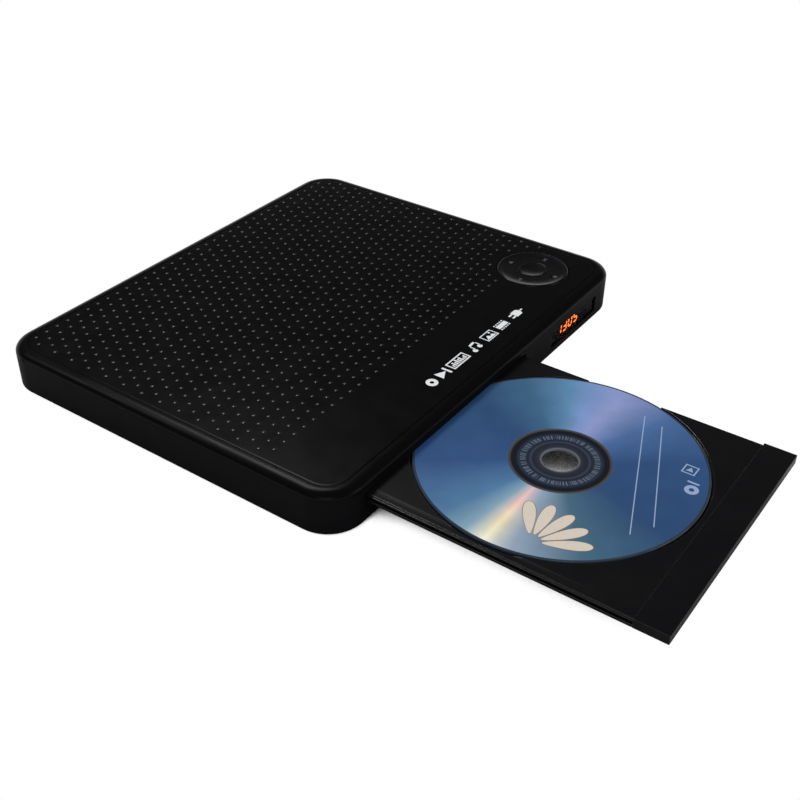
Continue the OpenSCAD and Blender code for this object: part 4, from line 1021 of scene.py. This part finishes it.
class PLAYER_OT_works(Operator):
    """Gives the inner works their materials"""
    bl_idname = "player.works"
    bl_label = "Inner works"

    # Each row: the kind of material, its name, colour, roughness and grain in millimetres, and its nodes.
    FINISHES = [
        (plated_metal, "cold_rolled_sheet_steel", "#9a9ca0", 0.3, 0.5, "clamp_bridge traverse_frame"),
        (plated_metal, "ground_steel_rod", "#c3c5c8", 0.14, 0.3,
         "guide_rods lead_screw board_screws loader_screws bridge_screws spindle_motor feed_motor "
         "loading_motor power_switch key_switches"),
        (plated_metal, "die_cast_zinc", "#77797d", 0.42, 0.8, "pickup_sled"),
        (plated_metal, "extruded_aluminium", "#c4c7cb", 0.3, 0.4, "heat_sink"),
        (plated_metal, "turned_brass", "#b08a45", 0.2, 0.3, "motor_pulley"),
        (moulded, "moulded_epoxy", "#17171a", 0.5, 0.5, "processor_chip memory_chips capacitors lens_holder"),
        (moulded, "white_acetal", "#e2ddcf", 0.3, 0.5, "drive_gear pulley_gear cam_slider"),
        (moulded, "glass_filled_abs", "#232326", 0.5, 0.5, "loader_base turntable clamp_puck"),
        (moulded, "ivory_nylon", "#dcd6c4", 0.4, 0.5, "board_connectors"),
        (moulded, "polyester_ribbon", "#cfccc2", 0.3, 0.5, "flat_cable"),
        (moulded, "belt_rubber", "#161616", 0.8, 0.5, "drive_belt damper_bushes turntable_pad"),
        (plated_metal, "nickel_plated_ferrite", "#6d6e72", 0.3, 0.6, "clamp_magnet"),
        (moulded, "infrared_resin", "#17121c", 0.12, 3.0, "ir_receiver"),
    ]

    def execute(self, context):
        for kind, name, hex_colour, roughness, grain_mm, nodes in self.FINISHES:
            self.finish(kind(name, hex_colour, roughness, grain_mm), nodes)
        self.finish(solder_mask(), "main_board display_board key_board")
        self.finish(lens_glass(), "objective_lens")
        return {"FINISHED"}

    @staticmethod
    def finish(material, nodes):
        for node in nodes.split():
            mesh = NODES[node].data
            mesh.materials.clear()
            mesh.materials.append(material)


# ---- Stage ----

class PLAYER_OT_stage(Operator):
    """Sets the pale floor, the white surroundings, the lamps and the camera"""
    bl_idname = "player.stage"
    bl_label = "Stage"

    def execute(self, context):
        scene = context.scene
        scene.view_settings.view_transform = "Standard"
        self.make_floor(scene)
        self.make_world(scene)
        self.make_lamps(scene)
        self.make_camera(scene)
        return {"FINISHED"}

    def make_floor(self, scene):
        bm = bmesh.new()
        bmesh.ops.create_grid(bm, x_segments=1, y_segments=1, size=4.0)
        mesh = bpy.data.meshes.new("floor")
        bm.to_mesh(mesh)
        bm.free()
        floor = bpy.data.objects.new("floor", mesh)
        scene.collection.objects.link(floor)
        material, tree, shader = new_material("matt_white_paper", roughness=0.9, specular_ior_level=0.1)
        grain(tree, shader, 0.8, 0.02)
        open_air = add(tree, "ShaderNodeAmbientOcclusion", {"Distance": 0.1}, samples=24).outputs["AO"]
        path = add(tree, "ShaderNodeLightPath")
        # The floor beside the player reflects in its walls as it is lit; further off it reflects as white.
        seen = add(tree, "ShaderNodeMapRange", {"From Min": 0.07, "From Max": 0.19}, {"Value": open_air},
                   interpolation_type="SMOOTHSTEP")
        far = add(tree, "ShaderNodeMapRange", {"From Min": 0.9, "From Max": 1.0}, {"Value": open_air})
        # Painted shadow: the floor's colour darkens where the player keeps open air from it, under and beside
        # it.
        shade = add(tree, "ShaderNodeValToRGB", None, {"Fac": open_air},
                    [(0.05, "#161616"), (0.3, "#c4c4c4")])
        tree.links.new(shade.outputs["Color"], shader.inputs["Base Color"])
        mirrored = add(tree, "ShaderNodeMath", None,
                       {0: path.outputs["Is Glossy Ray"], 1: far.outputs["Result"]}, operation="MULTIPLY")
        direct = add(tree, "ShaderNodeMath", None,
                     {0: path.outputs["Is Camera Ray"], 1: path.outputs["Is Transmission Ray"]},
                     operation="MAXIMUM")
        shown = add(tree, "ShaderNodeMath", None, {0: direct.outputs["Value"], 1: seen.outputs["Result"]},
                    operation="MULTIPLY")
        factor = add(tree, "ShaderNodeMath", None,
                     {0: shown.outputs["Value"], 1: mirrored.outputs["Value"]}, operation="MAXIMUM")
        white = add(tree, "ShaderNodeEmission", {"Color": (1, 1, 1, 1), "Strength": 1.0})
        output = next(n for n in tree.nodes if n.type == "OUTPUT_MATERIAL")
        mix = add(tree, "ShaderNodeMixShader", None,
                  {"Fac": factor.outputs["Value"], 1: shader.outputs["BSDF"], 2: white.outputs["Emission"]})
        tree.links.new(mix.outputs["Shader"], output.inputs["Surface"])
        mesh.materials.append(material)

    def make_world(self, scene):
        world = bpy.data.worlds.new("white_studio")
        scene.world = world
        world.use_nodes = True
        tree = world.node_tree
        background = next(n for n in tree.nodes if n.type == "BACKGROUND")
        background.inputs["Color"].default_value = (1, 1, 1, 1)
        # Reflections meet white low down and a dim ceiling overhead; the camera and glass see white.
        direction = add(tree, "ShaderNodeTexCoord").outputs["Generated"]
        height = add(tree, "ShaderNodeSeparateXYZ", None, {"Vector": direction}).outputs["Z"]
        ceiling = add(tree, "ShaderNodeMapRange",
                      {"From Min": 0.1, "From Max": 0.35, "To Min": 1.0, "To Max": 0.05}, {"Value": height})
        path = add(tree, "ShaderNodeLightPath")
        lit = add(tree, "ShaderNodeMix", {2: 0.55},
                  {0: path.outputs["Is Glossy Ray"], 3: ceiling.outputs["Result"]}, data_type="FLOAT")
        direct = add(tree, "ShaderNodeMath", None,
                     {0: path.outputs["Is Camera Ray"], 1: path.outputs["Is Transmission Ray"]},
                     operation="MAXIMUM")
        level = add(tree, "ShaderNodeMix", {3: 1.0}, {0: direct.outputs["Value"], 2: lit.outputs[0]},
                    data_type="FLOAT")
        tree.links.new(level.outputs[0], background.inputs["Strength"])

    def make_lamps(self, scene):
        """A key soft box overhead, a long strip behind it, and two weak ones in front."""
        self.lamp(scene, "key_soft_box", (0.4, 0.66, 1.1), (0.0, 0.0, 0.0), (0.45, 0.45), 6.5)
        self.lamp(scene, "strip_soft_box", (-0.1, 0.97, 1.1), (-0.6, 0.0, 0.0), (0.8, 0.22), 2.2)
        self.lamp(scene, "left_soft_box", (-0.9, -0.5, 0.6), (-0.05, 0.0, 0.0), (0.6, 0.6), 2.0)
        self.lamp(scene, "front_soft_box", (0.4, -1.1, 0.5), (0.0, -0.05, 0.0), (0.6, 0.6), 2.0)

    @staticmethod
    def lamp(scene, name, place, target, size, watts):
        data = bpy.data.lights.new(name, "AREA")
        data.shape = "RECTANGLE"
        data.size, data.size_y = size
        data.energy = watts
        lamp = bpy.data.objects.new(name, data)
        lamp.location = place
        lamp.rotation_euler = (Vector(target) - Vector(place)).to_track_quat("-Z", "Y").to_euler()
        scene.collection.objects.link(lamp)

    def make_camera(self, scene):
        """Looks down at the player from its left front corner."""
        data = bpy.data.cameras.new("product_camera")
        data.lens = 51.65
        data.sensor_width = 36.0
        data.shift_x = 0.0098
        data.shift_y = 0.0067
        data.clip_start = 0.01
        data.clip_end = 20.0
        camera = bpy.data.objects.new("product_camera", data)
        yaw, pitch, roll = math.radians(35.352), math.radians(35.474), math.radians(0.392)
        ahead = Vector((math.cos(pitch) * math.cos(yaw), math.cos(pitch) * math.sin(yaw), -math.sin(pitch)))
        right = Vector((math.sin(yaw), -math.cos(yaw), 0.0))
        up = right.cross(ahead)
        across = right * math.cos(roll) + up * math.sin(roll)
        above = up * math.cos(roll) - right * math.sin(roll)
        turn = Matrix((across, above, -ahead)).transposed()
        camera.matrix_world = Matrix.Translation((-0.37384, -0.24034, 0.30391)) @ turn.to_4x4()
        scene.collection.objects.link(camera)
        scene.camera = camera


class PLAYER_PT_sidebar(Panel):
    """Lists the player's pieces and their sizes"""
    bl_idname = "PLAYER_PT_sidebar"
    bl_label = "Disc Player"
    bl_space_type = "VIEW_3D"
    bl_region_type = "UI"
    bl_category = "Disc Player"

    def draw(self, context):
        for operator in OPERATORS:
            self.layout.operator(operator.bl_idname)
        for name in GROUPS:
            box = self.layout.box()
            settings = getattr(context.scene, name)
            for key in settings.__annotations__:
                box.prop(settings, key)


OPERATORS = [PLAYER_OT_stage, PLAYER_OT_cover, PLAYER_OT_marks, PLAYER_OT_case, PLAYER_OT_pad,
             PLAYER_OT_display, PLAYER_OT_tray, PLAYER_OT_disc, PLAYER_OT_jacks, PLAYER_OT_works]
GROUPS = {"player_cover": PLAYER_PG_cover, "player_case": PLAYER_PG_case, "player_pad": PLAYER_PG_pad,
          "player_display": PLAYER_PG_display, "player_tray": PLAYER_PG_tray, "player_disc": PLAYER_PG_disc}


def register():
    for cls in [*GROUPS.values(), *OPERATORS, PLAYER_PT_sidebar]:
        bpy.utils.register_class(cls)
    for name, group in GROUPS.items():
        setattr(bpy.types.Scene, name, PointerProperty(type=group))


def unregister():
    for name in GROUPS:
        delattr(bpy.types.Scene, name)
    for cls in reversed([*GROUPS.values(), *OPERATORS, PLAYER_PT_sidebar]):
        bpy.utils.unregister_class(cls)


def main():
    register()
    for operator in OPERATORS:
        group, name = operator.bl_idname.split(".")
        getattr(getattr(bpy.ops, group), name)()


if __name__ == "__main__":
    main()
